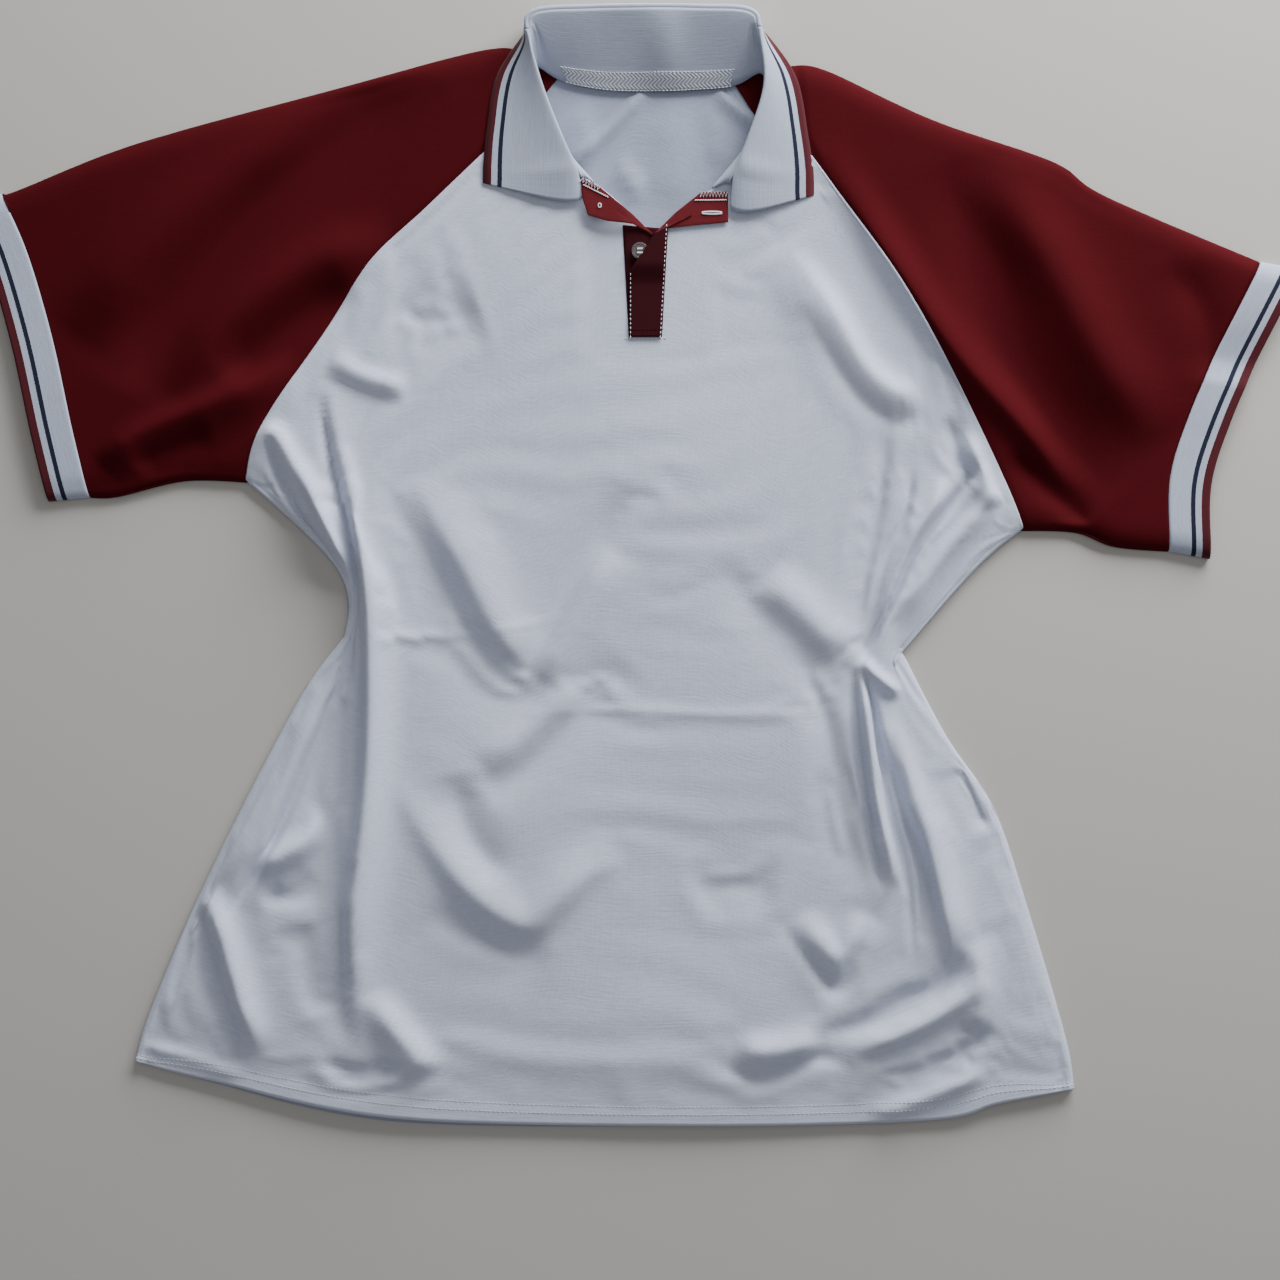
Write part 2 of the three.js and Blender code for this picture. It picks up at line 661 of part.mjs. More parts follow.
// The thread-bound slit in the left flap.
function makeButtonhole() {
  const outline = new THREE.Shape().absellipse(0, 0, buttonholeLength / 2, buttonholeWidth / 2, 0, Math.PI * 2);
  outline.holes.push(new THREE.Path().absellipse(0, 0, buttonholeLength / 2 - 0.9, 0.4, 0, Math.PI * 2));
  const ring = new THREE.ExtrudeGeometry(outline, { depth: 0.5, bevelEnabled: false, curveSegments: 16, steps: 1 });
  const piece = addPiece('upper_buttonhole', ring, 'whiteThread');
  piece.position.set(53, 230, frontTop + 2 * layerGap + bandCloth);
}

// ================================================================ buttons
function disc(radius, z0, z1, segments) {
  const geometry = new THREE.CylinderGeometry(radius, radius, z1 - z0, segments);
  geometry.rotateX(Math.PI / 2);
  geometry.translate(0, 0, (z0 + z1) / 2);
  return geometry;
}

const holeCentres = [[-1, -1], [1, -1], [1, 1], [-1, 1]].map(([x, y]) => (
  new THREE.Vector2(x, y).multiplyScalar(buttonHoleSpacing / 2)
));

// A four-hole button with a raised rim, its underside at zero.
function buttonShape() {
  const radius = buttonDiameter / 2;
  const rimTop = buttonThickness + buttonRim;
  const profile = [
    [0, 0], [radius - 0.6, 0], [radius, 0.7], [radius, rimTop - 0.6], [radius - 0.5, rimTop],
    [radius - 1.1, rimTop], [radius - 1.7, buttonThickness], [0, buttonThickness],
  ];
  const turned = new THREE.LatheGeometry(profile.map(point), 28);
  turned.rotateX(Math.PI / 2);
  const holes = holeCentres.map((c) => disc(buttonHole / 2, -1, rimTop + 1, 10).translate(c.x, c.y, 0));
  return cut(turned, ...holes);
}

// The sewing thread: a shank under the button, four legs and two bars across the top.
function threadShape() {
  const shank = disc(buttonHoleSpacing / 2 + threadThickness / 2 + 0.3, -shankHeight, -0.1, 12);
  const barTop = buttonThickness + threadThickness;
  const legs = holeCentres.map((c) => disc(threadThickness / 2, -0.3, barTop - 0.2, 8).translate(c.x, c.y, 0));
  const bars = [-1, 1].map((row) => (
    new THREE.BoxGeometry(buttonHoleSpacing + threadThickness, threadThickness, threadThickness - 0.2)
      .translate(0, row * buttonHoleSpacing / 2, barTop - threadThickness / 2 + 0.1)
  ));
  return join(shank, ...legs, ...bars);
}

function addButton(name, at, z, facingDown) {
  const holder = new THREE.Group();
  holder.position.set(at.x, at.y, z);
  holder.rotation.x = facingDown ? Math.PI : 0;
  shirt.add(holder);
  holder.add(addPiece(name, buttonShape(), 'clearPlastic'));
  holder.add(addPiece(`${name}_thread`, threadShape(), 'whiteThread'));
}

function makeButtons() {
  const underBandTop = frontTop - jersey + bandCloth;
  addButton('lower_button', lowerButtonAt, underBandTop + layerGap + shankHeight, false);
  const flapUnderside = rightFlapHeight(upperButtonAt);
  addButton('upper_button', upperButtonAt, flapUnderside - layerGap - shankHeight, true);
}

// ================================================================ the shirt
makeBackPanel();
makeBackHem();
makeFrontPanel();
makeFrontHem();
for (const side of sides) {
  makeSleeveShoulder(side);
  makeSleeveArm(side);
  makeCuff(side);
}
makeCollarStand();
makeBackLeaf();
makeCollarLeaf('right');
makeCollarLeaf('left');
makeNeckTape();
makeUnderBand();
makeOverBand();
makeFlaps();
makeButtonhole();
makeButtons();

// Puts the middle of the footprint at the origin.
shirt.updateMatrixWorld(true);
const footprint = new THREE.Box3().setFromObject(shirt);
const middle = footprint.getCenter(new THREE.Vector3());
shirt.position.set(-middle.x, -middle.y, -footprint.min.z);
shirt.updateMatrixWorld(true);

export default shirt;
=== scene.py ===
import math
import bmesh
import bpy
import numpy as np
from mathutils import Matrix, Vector


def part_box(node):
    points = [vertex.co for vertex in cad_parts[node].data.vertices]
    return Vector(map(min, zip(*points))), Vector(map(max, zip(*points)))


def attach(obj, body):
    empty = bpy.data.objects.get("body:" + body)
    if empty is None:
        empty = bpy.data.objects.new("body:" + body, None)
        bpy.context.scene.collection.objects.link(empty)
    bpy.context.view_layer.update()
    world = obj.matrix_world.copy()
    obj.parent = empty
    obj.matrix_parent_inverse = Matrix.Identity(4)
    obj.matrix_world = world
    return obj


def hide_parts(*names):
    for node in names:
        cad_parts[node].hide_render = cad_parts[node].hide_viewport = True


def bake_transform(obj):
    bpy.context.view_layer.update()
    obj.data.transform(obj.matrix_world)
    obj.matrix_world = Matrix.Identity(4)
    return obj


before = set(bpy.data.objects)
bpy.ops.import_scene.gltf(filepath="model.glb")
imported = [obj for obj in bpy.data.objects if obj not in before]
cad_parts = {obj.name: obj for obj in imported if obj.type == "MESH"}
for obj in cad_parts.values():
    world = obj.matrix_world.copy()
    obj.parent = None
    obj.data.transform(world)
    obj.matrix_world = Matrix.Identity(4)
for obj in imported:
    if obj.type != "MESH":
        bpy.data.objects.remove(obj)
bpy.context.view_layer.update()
mm = 0.001

# how the shirt lies, in millimetres; right and left are the wearer's
lay = {
    "neckSeamY": 316, "bodyLength": 676,
    "chestWidth": 502, "waistWidth": 362, "hemWidth": 609,
    "chestCentre": 3, "waistCentre": -4.5, "hemCentre": -16.5,
    "hemDepth": 20,
    "vBottom": (15.6, 216.5),
    "waistShare": 0.455, "armpitShare": 0.6, "vShare": 0.487,
}
hemBows = [(0.08, -11), (0.28, -32), (0.61, -31), (0.85, -23), (0.92, -11)]
sides = {
    "right": {
        "sign": -1, "armpitDrop": 259.5, "waistDrop": 360, "hemRise": 41,
        "neckPoint": (-64, 331), "raglanTop": (-71.5, 290), "backTop": (-46, 320),
        "sleeveLength": 354, "sleeveFall": 14.4, "cuffWidth": 204, "cuffLean": 16.1, "cuffFall": 5,
        "raglanBows": [(0.08, -4), (0.27, -13), (0.44, -21), (0.64, -17), (0.88, -13)],
        "shoulderBows": [(0.07, -12.5), (0.36, -12.3), (0.74, -10), (0.97, 0)],
        "cuffBows": [(0.2, 5.6), (0.49, 5.9), (0.78, 2.1)],
        "underarmBows": [(0.42, -5.3), (0.84, 0.9)],
        "flankBows": [(0.4, 14), (0.67, 19.5), (0.86, 14)],
        "skirtBows": [(0.14, -7.6), (0.4, -10.5), (0.67, -9.8), (0.9, -5.3)],
    },
    "left": {
        "sign": 1, "armpitDrop": 290.5, "waistDrop": 370, "hemRise": 23,
        "neckPoint": (103, 326), "raglanTop": (107, 279.5), "backTop": (66, 318),
        "sleeveLength": 331, "sleeveFall": 22.6, "cuffWidth": 196, "cuffLean": 17.6, "cuffFall": 10,
        "raglanBows": [(0.13, 4), (0.38, 10.7), (0.63, 10.4), (0.88, 5)],
        "shoulderBows": [(0.07, 6.6), (0.3, 3.6), (0.55, 8.5), (0.67, 1)],
        "cuffBows": [(0.32, -9.7), (0.57, -14.7), (0.78, -13.8)],
        "underarmBows": [(0.39, 4.1), (0.65, -1.6)],
        "flankBows": [(0.34, -3.5)],
        "skirtBows": [(0.2, 6.6), (0.38, 18), (0.6, 15), (0.89, 7)],
    },
}
# the frame's origin is the middle of the footprint, a little off the shirt's own middle
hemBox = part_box("front_hem")
layShift = np.array([(hemBox[0].x + hemBox[1].x) / 2 / mm - lay["hemCentre"], 0.1])


def curveAt(points, ts):
    p = np.asarray(points, float)
    last = len(p) - 1
    ts = np.clip(np.atleast_1d(np.asarray(ts, float)), 0, 1)
    seg = np.minimum((ts * last).astype(int), last - 1)
    w = (ts * last - seg)[:, None]
    p0, p1, p2, p3 = p[np.maximum(seg - 1, 0)], p[seg], p[seg + 1], p[np.minimum(seg + 2, last)]
    v0, v1 = (p2 - p0) / 2, (p3 - p1) / 2
    return (2 * p1 - 2 * p2 + v0 + v1) * w ** 3 + (-3 * p1 + 3 * p2 - 2 * v0 - v1) * w ** 2 + v0 * w + p1


def bowed(start, end, bows):
    start, end = np.array(start, float), np.array(end, float)
    along = end - start
    aside = np.array([-along[1], along[0]]) / np.hypot(*along)
    return np.array([start] + [start + along * s + aside * d for s, d in bows] + [end])


def smooth(x, lo=0.0, hi=1.0):
    t = np.clip((np.asarray(x, float) - lo) / (hi - lo), 0, 1)
    return t * t * (3 - 2 * t)


def layOut(side):
    fall, lean, sign = math.radians(side["sleeveFall"]), math.radians(side["cuffLean"]), side["sign"]
    seamY = lay["neckSeamY"]
    hemY = seamY - lay["bodyLength"]
    armpit = np.array([lay["chestCentre"] + sign * lay["chestWidth"] / 2, seamY - side["armpitDrop"]])
    waist = np.array([lay["waistCentre"] + sign * lay["waistWidth"] / 2, seamY - side["waistDrop"]])
    hemCorner = np.array([lay["hemCentre"] + sign * lay["hemWidth"] / 2, hemY + side["hemRise"]])
    neck, top, backTop = (np.array(side[k], float) for k in ("neckPoint", "raglanTop", "backTop"))
    cuffTop = neck + side["sleeveLength"] * np.array([sign * math.cos(fall), -math.sin(fall)])
    cuffBottom = cuffTop + side["cuffWidth"] * np.array([-sign * math.sin(lean), -math.cos(lean)])
    corners = (armpit, waist, hemCorner, neck, top, backTop, cuffTop, cuffBottom)
    armpit, waist, hemCorner, neck, top, backTop, cuffTop, cuffBottom = (c + layShift for c in corners)
    side.update(armpit=armpit, waist=waist, hemCorner=hemCorner, neck=neck, top=top, backTop=backTop)
    side["raglan"] = bowed(top, armpit, side["raglanBows"])
    side["backRaglan"] = bowed(backTop, armpit, [(s, d * 0.8) for s, d in side["raglanBows"]])
    side["flank"] = bowed(armpit, waist, side["flankBows"])
    side["skirt"] = bowed(waist, hemCorner, side["skirtBows"])
    side["shoulder"] = bowed(neck, cuffTop, side["shoulderBows"])
    side["underarm"] = bowed(armpit, cuffBottom, side["underarmBows"])
    side["cuff"] = bowed(cuffTop, cuffBottom, side["cuffBows"])


for side in sides.values():
    layOut(side)
right, left = sides["right"], sides["left"]
hemLine = bowed(right["hemCorner"], left["hemCorner"], hemBows)
print("laid out the shirt's edges")


def patchGrid(lower, upper, leftEdge, rightEdge, us, vs):
    u, v = np.asarray(us)[None, :, None], np.asarray(vs)[:, None, None]
    ruled = (1 - v) * lower[None] + v * upper[None] + (1 - u) * leftEdge[:, None] + u * rightEdge[:, None]
    corners = ((1 - u) * (1 - v) * lower[0] + u * (1 - v) * lower[-1]
               + (1 - u) * v * upper[0] + u * v * upper[-1])
    return ruled - corners


easing = {"rounds": 260, "edgeShare": 0.05, "insideShare": 0.24}


def relax(plan):
    # evens out the inside of a grid, so that a corner of its outline doesn't run across the cloth
    p = plan.copy()
    for _ in range(easing["rounds"]):
        p[1:-1, 1:-1] = (p[:-2, 1:-1] + p[2:, 1:-1] + p[1:-1, :-2] + p[1:-1, 2:]) / 4
    across = np.linspace(0, 1, plan.shape[1])
    nearest = np.minimum(across, 1 - across)
    inside = smooth(nearest, easing["edgeShare"], easing["insideShare"])[None, :, None]
    return plan + (p - plan) * inside


def bodyEdge(side, vs, raglan, inwards=0.0):
    waist, armpit = lay["waistShare"], lay["armpitShare"]
    out = []
    for v in vs:
        if v <= waist:
            out.append(curveAt(side["skirt"], 1 - v / waist)[0])
        elif v <= armpit:
            out.append(curveAt(side["flank"], 1 - (v - waist) / (armpit - waist))[0])
        else:
            p = curveAt(side[raglan], 1 - (v - armpit) / (1 - armpit))[0]
            out.append(p - np.array([side["sign"] * inwards, 0]))
    return np.array(out)


# closed edges, where the front turns round to the back
closedEdges = np.concatenate([
    np.stack([e[:-1], e[1:]], 1)
    for s in sides.values()
    for e in (curveAt(s[k], np.linspace(0, 1, 17)) for k in ("flank", "skirt", "shoulder", "underarm"))
])
hemEdges = np.stack([curveAt(hemLine, np.linspace(0, 1, 25))[i:i + 24] for i in (0, 1)], 1)


def distanceTo(points, segments):
    best = np.full(len(points), 1e9)
    for a, b in segments:
        ab = b - a
        t = np.clip((points - a) @ ab / (ab @ ab), 0, 1)
        best = np.minimum(best, np.hypot(*(points - a - t[:, None] * ab).T))
    return best


# folds of the front and the sleeves: a path, its height (below zero for a hollow), the half
# width on its left and on its right, seen along the path
folds = [
    # the drawn-in right flank
    ([(-247, 62), (-232, 88), (-216, 66), (-197, 30), (-182, -8)], 5, 5, 7),
    ([(-237, 90), (-223, 50), (-206, 25), (-191, 3), (-180, -14)], -6, 2.2, 2.8),
    ([(-212, 74), (-203, 46), (-191, 20), (-180, -9)], 2.5, 5, 4),
    ([(-202, 122), (-192, 63), (-184, 33), (-177, -2), (-175, -34)], -7, 2.2, 3),
    ([(-176, -14), (-181, -57), (-189, -82), (-208, -127), (-233, -180), (-264, -232)], -8, 2.4, 5),
    ([(-182, -66), (-196, -112), (-198, -147), (-194, -180)], -5, 5, 7),
    ([(-199, 123), (-184, 72), (-176, 21), (-169, -24), (-168, -64), (-170, -131), (-176, -194),
      (-181, -239), (-181, -284), (-171, -315)], 9, 13, 5),
    ([(-184, -64), (-191, -120), (-194, -171), (-191, -227), (-186, -273), (-181, -318)], -7, 7, 14),
    ([(-247, -194), (-225, -185), (-205, -171), (-194, -148)], 6, 7, 10),
    ([(-239, -211), (-219, -212), (-199, -202)], -6, 9, 6),
    ([(-191, -64), (-205, -103), (-225, -143), (-247, -182), (-267, -216)], 4, 8, 14),
    ([(-285, -205), (-276, -239), (-266, -278), (-250, -324)], -8, 5, 11),
    ([(-275, -205), (-263, -239), (-252, -278), (-238, -318)], 6, 9, 5),
    ([(-211, -227), (-205, -261), (-199, -290)], -5, 12, 12),
    ([(-199, -316), (-184, -327), (-165, -327), (-152, -317)], -8, 6, 6),
    ([(-168, -273), (-154, -295), (-139, -313), (-129, -329)], 6, 8, 10),
    ([(-323, -307), (-298, -313), (-270, -321), (-247, -329)], 2, 4, 6),
    # the drawn-in left flank
    ([(169, 100), (161, 43), (152, -7), (146, -58)], -4.5, 5, 9),
    ([(184, 66), (179, 35), (167, 10), (157, -27), (149, -60)], -6, 2.2, 3),
    ([(204, 60), (197, 43), (180, 15), (166, -22), (154, -56)], 4.5, 6, 4),
    ([(232, 76), (213, 48), (187, 15), (172, -17), (157, -47), (150, -64)], -7, 2.2, 3.5),
    ([(240, 52), (217, 28), (192, -2), (172, -37)], 3.5, 8, 5),
    ([(148, -58), (160, -70), (176, -82)], 4, 4, 4),
    ([(147, -54), (157, -87), (162, -117), (169, -157), (179, -197), (184, -258)], -8, 2.2, 2.8),
    ([(156, -76), (179, -147), (192, -177), (204, -227), (211, -262)], 7, 13, 4.5),
    ([(163, -104), (176, -150), (187, -187), (196, -252)], -5, 7, 7),
    ([(145, -60), (147, -102), (154, -157), (164, -212)], -6, 2.4, 4),
    ([(151, -60), (153, -102), (161, -157), (172, -208)], 6, 4, 4),
    ([(104, -44), (127, -97), (137, -157), (151, -212)], -3.6, 9, 14),
    ([(210, -120), (222, -148), (231, -171)], -3, 5, 7),
    # pressed-in lines
    ([(-92, -95), (1, -91), (68, -95), (144, -91)], 0.35, 2.2, 2.2),
    ([(-168, -44), (-100, -42), (-34, -28)], 0.35, 2.2, 2.2),
    # chest
    ([(94, 216), (127, 169), (150, 130), (172, 112), (190, 112)], 5, 10, 20),
    ([(108, 174), (135, 129), (154, 106), (175, 96), (192, 104)], -3.4, 13, 9),
    ([(-158, 172), (-125, 161), (-96, 170)], -3.5, 18, 20),
    ([(-201, 129), (-174, 116), (-145, 107)], -1.6, 5, 8),
    ([(-197, 137), (-171, 124), (-142, 116)], 3, 6, 8),
    ([(-168, 66), (-133, 10), (-111, -32), (-93, -64), (-71, -76), (-44, -69)], -3.4, 11, 26),
    ([(-140, 61), (-106, -1), (-84, -41), (-63, -61)], 4, 20, 9),
    ([(-71, -73), (-50, -35), (-22, 16), (1, 55)], -2.4, 16, 9),
    ([(-61, -75), (-38, -35), (-10, 16)], 3, 9, 16),
    ([(51, 10), (91, -33), (117, -56), (145, -97)], -2, 16, 18),
    ([(85, -5), (113, -30), (139, -56)], 3.5, 14, 12),
    ([(216, 89), (227, 61), (236, 38)], 4, 6, 8),
    ([(205, 100), (213, 75), (223, 49)], -4, 6, 7),
    # belly
    ([(1, -58), (-44, -103), (-95, -154)], -2.8, 14, 18),
    ([(-33, -75), (-61, -103), (-95, -131)], 3, 12, 12),
    ([(-156, -130), (-129, -175), (-100, -212), (-69, -231), (-50, -218), (-29, -197), (-4, -187)],
     4.6, 16, 8),
    ([(-114, -131), (-104, -171), (-80, -203)], -3, 12, 14),
    ([(-134, -216), (-95, -244), (-50, -252)], -3, 16, 16),
    ([(91, -222), (119, -255), (134, -272), (148, -248), (170, -199)], -3.8, 8, 5),
    ([(108, -222), (134, -252), (154, -222)], 4.5, 9, 12),
    ([(40, -216), (68, -205), (96, -211)], -2.5, 16, 16),
    ([(119, -304), (150, -294), (175, -279), (201, -267), (227, -239)], -5, 8, 10),
    ([(136, -312), (170, -302), (204, -284), (232, -261)], 5, 7, 8),
    ([(45, -312), (79, -330), (102, -326), (122, -316), (147, -324)], -3.2, 7, 6),
    ([(68, -311), (96, -311), (124, -304)], 4.5, 8, 10),
    ([(145, -344), (175, -329), (209, -316), (238, -295)], -5, 7, 8),
    ([(153, -355), (192, -342), (232, -324)], 3.5, 6, 7),
    ([(221, -239), (227, -273), (221, -301)], 4, 9, 9),
    # right sleeve
    ([(-120, 322), (-170, 292), (-231, 246), (-271, 197), (-308, 145), (-326, 112)], -6, 24, 26),
    ([(-170, 306), (-250, 258), (-318, 200), (-360, 146)], 5.5, 24, 20),
    ([(-180, 188), (-222, 156), (-264, 122)], -5, 14, 14),
    ([(-150, 210), (-200, 200), (-262, 160), (-300, 110)], 4, 16, 16),
    ([(-214, 136), (-262, 110), (-318, 86), (-342, 64)], 5.5, 14, 8),
    ([(-270, 92), (-322, 66)], -3, 10, 8),
    # left sleeve
    ([(118, 284), (168, 201), (213, 136), (257, 88), (290, 44)], 6, 13, 9),
    ([(200, 268), (228, 201), (248, 142), (279, 91), (315, 42)], -6, 20, 22),
    ([(230, 268), (272, 196), (306, 134), (344, 78)], 6, 22, 18),
    ([(246, 78), (272, 52), (300, 28)], -4, 9, 9),
    ([(352, 200), (374, 160), (376, 120)], -3, 14, 14),
]


# a hollow is part soft dip and part sharp line
crease = {"softShare": 0.35, "steepness": 1.5, "bluntness": 0.05, "level": 0.22}


def foldHeight(points, folds, ridgeScale=1.0, hollowScale=1.0):
    z = np.zeros(len(points))
    for path, height, leftWidth, rightWidth in folds:
        path = curveAt(path, np.linspace(0, 1, 4 * len(path) - 3)) + layShift
        reach = 2.5 * max(leftWidth, rightWidth)
        near = np.all((points > path.min(0) - reach) & (points < path.max(0) + reach), 1)
        if not near.any():
            continue
        q = points[near]
        best = np.full(len(q), 1e9)
        where = np.zeros(len(q))
        hand = np.zeros(len(q))
        count = len(path) - 1
        for i in range(count):
            a, ab = path[i], path[i + 1] - path[i]
            t = np.clip((q - a) @ ab / (ab @ ab), 0, 1)
            away = q - a - t[:, None] * ab
            d = np.hypot(*away.T)
            closer = d < best
            best = np.where(closer, d, best)
            where = np.where(closer, (i + t) / count, where)
            hand = np.where(closer, ab[0] * away[:, 1] - ab[1] * away[:, 0], hand)
        width = leftWidth + (rightWidth - leftWidth) * smooth(-hand / (np.hypot(*ab) * 4), -1, 1)
        taper = smooth(where, 0, 0.3) * (1 - smooth(where, 0.72, 1))
        height *= ridgeScale if height > 0 else hollowScale
        shape = np.exp(-(best / width) ** 2)
        if height < 0:
            blunt = np.sqrt((best / width) ** 2 + crease["bluntness"]) - crease["level"]
            sharp = np.exp(-crease["steepness"] * blunt)
            shape = crease["softShare"] * shape + (1 - crease["softShare"]) * sharp
        z[near] += height * shape * taper
    return z


cloth = {
    "thickness": 0.9, "backTop": 1.9, "edgeHeight": 2.4, "room": 5.0, "roundness": 16,
    "ridgeScale": 1.45, "hollowScale": 1.4, "softness": 1.3, "hemDrop": 3.2, "hemReach": 46, "edgeHold": 9,
}
placketBed = {"x": (-22, 46), "y": (146, 262), "height": 6.4, "margin": 16}


def bedShare(points):
    # how far a point belongs to the level ground that the placket and its flaps lie on
    (x0, x1), (y0, y1) = placketBed["x"], placketBed["y"]
    outside = np.maximum(np.maximum(x0 - points[:, 0], points[:, 0] - x1), 0)
    outside = np.hypot(outside, np.maximum(np.maximum(y0 - points[:, 1], points[:, 1] - y1), 0))
    return 1 - smooth(outside, 0, placketBed["margin"])


def frontHeight(points):
    # the front layer's top over the table, without and with its folds
    away = distanceTo(points, closedEdges)
    rise = np.clip(away / cloth["roundness"], 0, 1)
    base = cloth["edgeHeight"] + cloth["room"] * np.sqrt(1 - (1 - rise) ** 2)
    hold = smooth(away, 0, cloth["edgeHold"])
    x, y = points.T
    slow = 0.7 * np.sin(x / 37 + y / 61) + 0.6 * np.sin(y / 29 - x / 83)
    nearHem = 1 - smooth(distanceTo(points, hemEdges), 0, cloth["hemReach"])
    base = base - cloth["hemDrop"] * nearHem * hold
    z = base + (foldHeight(points, folds, cloth["ridgeScale"], cloth["hollowScale"]) + slow) * hold
    floor, soft = cloth["backTop"], cloth["softness"]
    return np.where(away > 3, floor + soft * np.log1p(np.exp(np.clip((z - floor) / soft, -30, 30))), z)


def gridObject(name, grid, uv=None, loop=False):
    # a sheet of quads from rows and columns of points in millimetres, with its own flat map
    rows, cols = grid.shape[:2]
    index = np.arange(rows * cols).reshape(rows, cols)
    nextRow = np.roll(index, -1, 0) if loop else index[1:]
    here = index if loop else index[:-1]
    quads = np.stack([here[:, :-1], here[:, 1:], nextRow[:, 1:], nextRow[:, :-1]], -1).reshape(-1, 4)
    mesh = bpy.data.meshes.new(name)
    mesh.from_pydata((grid.reshape(-1, 3) * mm).tolist(), [], quads.tolist())
    if uv is None:
        uv = flatMap(grid)
    layer = mesh.uv_layers.new(name="flat")
    corners = np.zeros(len(mesh.loops), int)
    mesh.loops.foreach_get("vertex_index", corners)
    layer.data.foreach_set("uv", (uv.reshape(-1, 2)[corners] * mm).astype(np.float32).ravel())
    mesh.polygons.foreach_set("use_smooth", [True] * len(mesh.polygons))
    obj = bpy.data.objects.new(name, mesh)
    bpy.context.collection.objects.link(obj)
    return obj


def flatMap(grid):
    # lengths along the cloth, so that a knit keeps its size everywhere
    across = np.linalg.norm(np.diff(grid, axis=1), axis=2)
    along = np.linalg.norm(np.diff(grid, axis=0), axis=2)
    u = np.concatenate([np.zeros((len(grid), 1)), np.cumsum(across, 1)], 1)
    v = np.concatenate([np.zeros((1, grid.shape[1])), np.cumsum(along, 0)], 0)
    u = u - u[:, grid.shape[1] // 2][:, None] + np.mean(u[:, -1]) / 2
    return np.stack([u, v], -1)


def thicken(obj, thickness, offset=-1):
    skin = obj.modifiers.new("thickness", "SOLIDIFY")
    skin.thickness = thickness * mm
    skin.offset = offset
    skin.use_even_offset = False
    skin.use_rim = True
    return obj


def finishMesh(obj):
    # turns the live modifiers into plain mesh
    evaluated = obj.evaluated_get(bpy.context.evaluated_depsgraph_get())
    mesh = bpy.data.meshes.new_from_object(evaluated)
    obj.modifiers.clear()
    old = obj.data
    obj.data = mesh
    bpy.data.meshes.remove(old)
    return obj


def refine(grid, factor):
    rows, cols = grid.shape[:2]
    ts = np.linspace(0, 1, (rows - 1) * factor + 1)
    tall = curveAt(grid.reshape(rows, -1), ts).reshape(len(ts), cols, 3)
    us = np.linspace(0, 1, (cols - 1) * factor + 1)
    wide = curveAt(tall.transpose(1, 0, 2).reshape(cols, -1), us).reshape(len(us), len(ts), 3)
    return wide.transpose(1, 0, 2)


settle = {
    "frames": 24, "slack": 0.0012, "quality": 5, "stretch": 20.0, "bend": 2.5, "damping": 4.0, "hold": 0.2,
    "mass": 0.05, "airDamping": 2.0, "gravity": 0.3, "gap": 0.001, "heldRings": 5, "easeStep": 0.22,
}


def settleCloth(grid, floorHeight):
    # lets the loose cloth find its own small folds between its sewn edges
    obj = gridObject("settling", grid)
    group = obj.vertex_groups.new(name="seams")
    rows, cols = grid.shape[:2]
    index = np.arange(rows * cols).reshape(rows, cols)
    fromEdge = np.minimum(np.minimum(index // cols, rows - 1 - index // cols),
                          np.minimum(index % cols, cols - 1 - index % cols))
    for step in range(settle["heldRings"] + 1):
        ring = index[fromEdge == step] if step < settle["heldRings"] else index[fromEdge >= step]
        weight = 1.0 if step < 2 else max(settle["hold"], 1 - settle["easeStep"] * step)
        group.add(ring.tolist(), weight, "REPLACE")
    table = bpy.data.meshes.new("settlingTable")
    tableCorners = [(x, y, floorHeight * mm) for x, y in ((-1, -1), (1, -1), (1, 1), (-1, 1))]
    table.from_pydata(tableCorners, [], [(0, 1, 2, 3)])
    under = bpy.data.objects.new("settlingTable", table)
    bpy.context.collection.objects.link(under)
    under.modifiers.new("hold", "COLLISION")
    under.collision.thickness_outer = settle["gap"]
    modifier = obj.modifiers.new("settle", "CLOTH")
    s = modifier.settings
    s.quality = settle["quality"]
    s.mass = settle["mass"]
    s.tension_stiffness = s.compression_stiffness = settle["stretch"]
    s.shear_stiffness = settle["stretch"] / 2
    s.bending_stiffness = settle["bend"]
    s.tension_damping = s.compression_damping = settle["damping"]
    s.air_damping = settle["airDamping"]
    s.vertex_group_mass = "seams"
    s.pin_stiffness = 1.0
    s.shrink_min = -settle["slack"]
    s.effector_weights.gravity = settle["gravity"]
    modifier.collision_settings.distance_min = settle["gap"]
    modifier.collision_settings.use_self_collision = False
    modifier.point_cache.frame_start = 1
    modifier.point_cache.frame_end = settle["frames"]
    scene = bpy.context.scene
    for f in range(1, settle["frames"] + 1):
        scene.frame_set(f)
    evaluated = obj.evaluated_get(bpy.context.evaluated_depsgraph_get())
    co = np.zeros(len(evaluated.data.vertices) * 3)
    evaluated.data.vertices.foreach_get("co", co)
    result = co.reshape(grid.shape) / mm
    scene.frame_set(1)
    for o in (obj, under):
        mesh = o.data
        bpy.data.objects.remove(o)
        bpy.data.meshes.remove(mesh)
    print("settled the front, moved up to", round(float(np.abs(result - grid).max()), 2), "mm")
    return result


def bodyShares(rows):
    waist, armpit = lay["waistShare"], lay["armpitShare"]
    below, flank = int(rows * waist), int(rows * (armpit - waist))
    return np.concatenate([np.linspace(0, waist, below + 1), np.linspace(waist, armpit, flank + 1)[1:],
                           np.linspace(armpit, 1, rows - below - flank + 1)[1:]])


front = {
    "rows": 112, "columns": 100, "refine": 2, "overSleeve": 1.2, "hemStep": 0.5, "edgeTurn": 1.4,
    "bunching": 0.1, "evenReach": 0.06, "skirtRun": 640, "hemShare": 0.6,
}


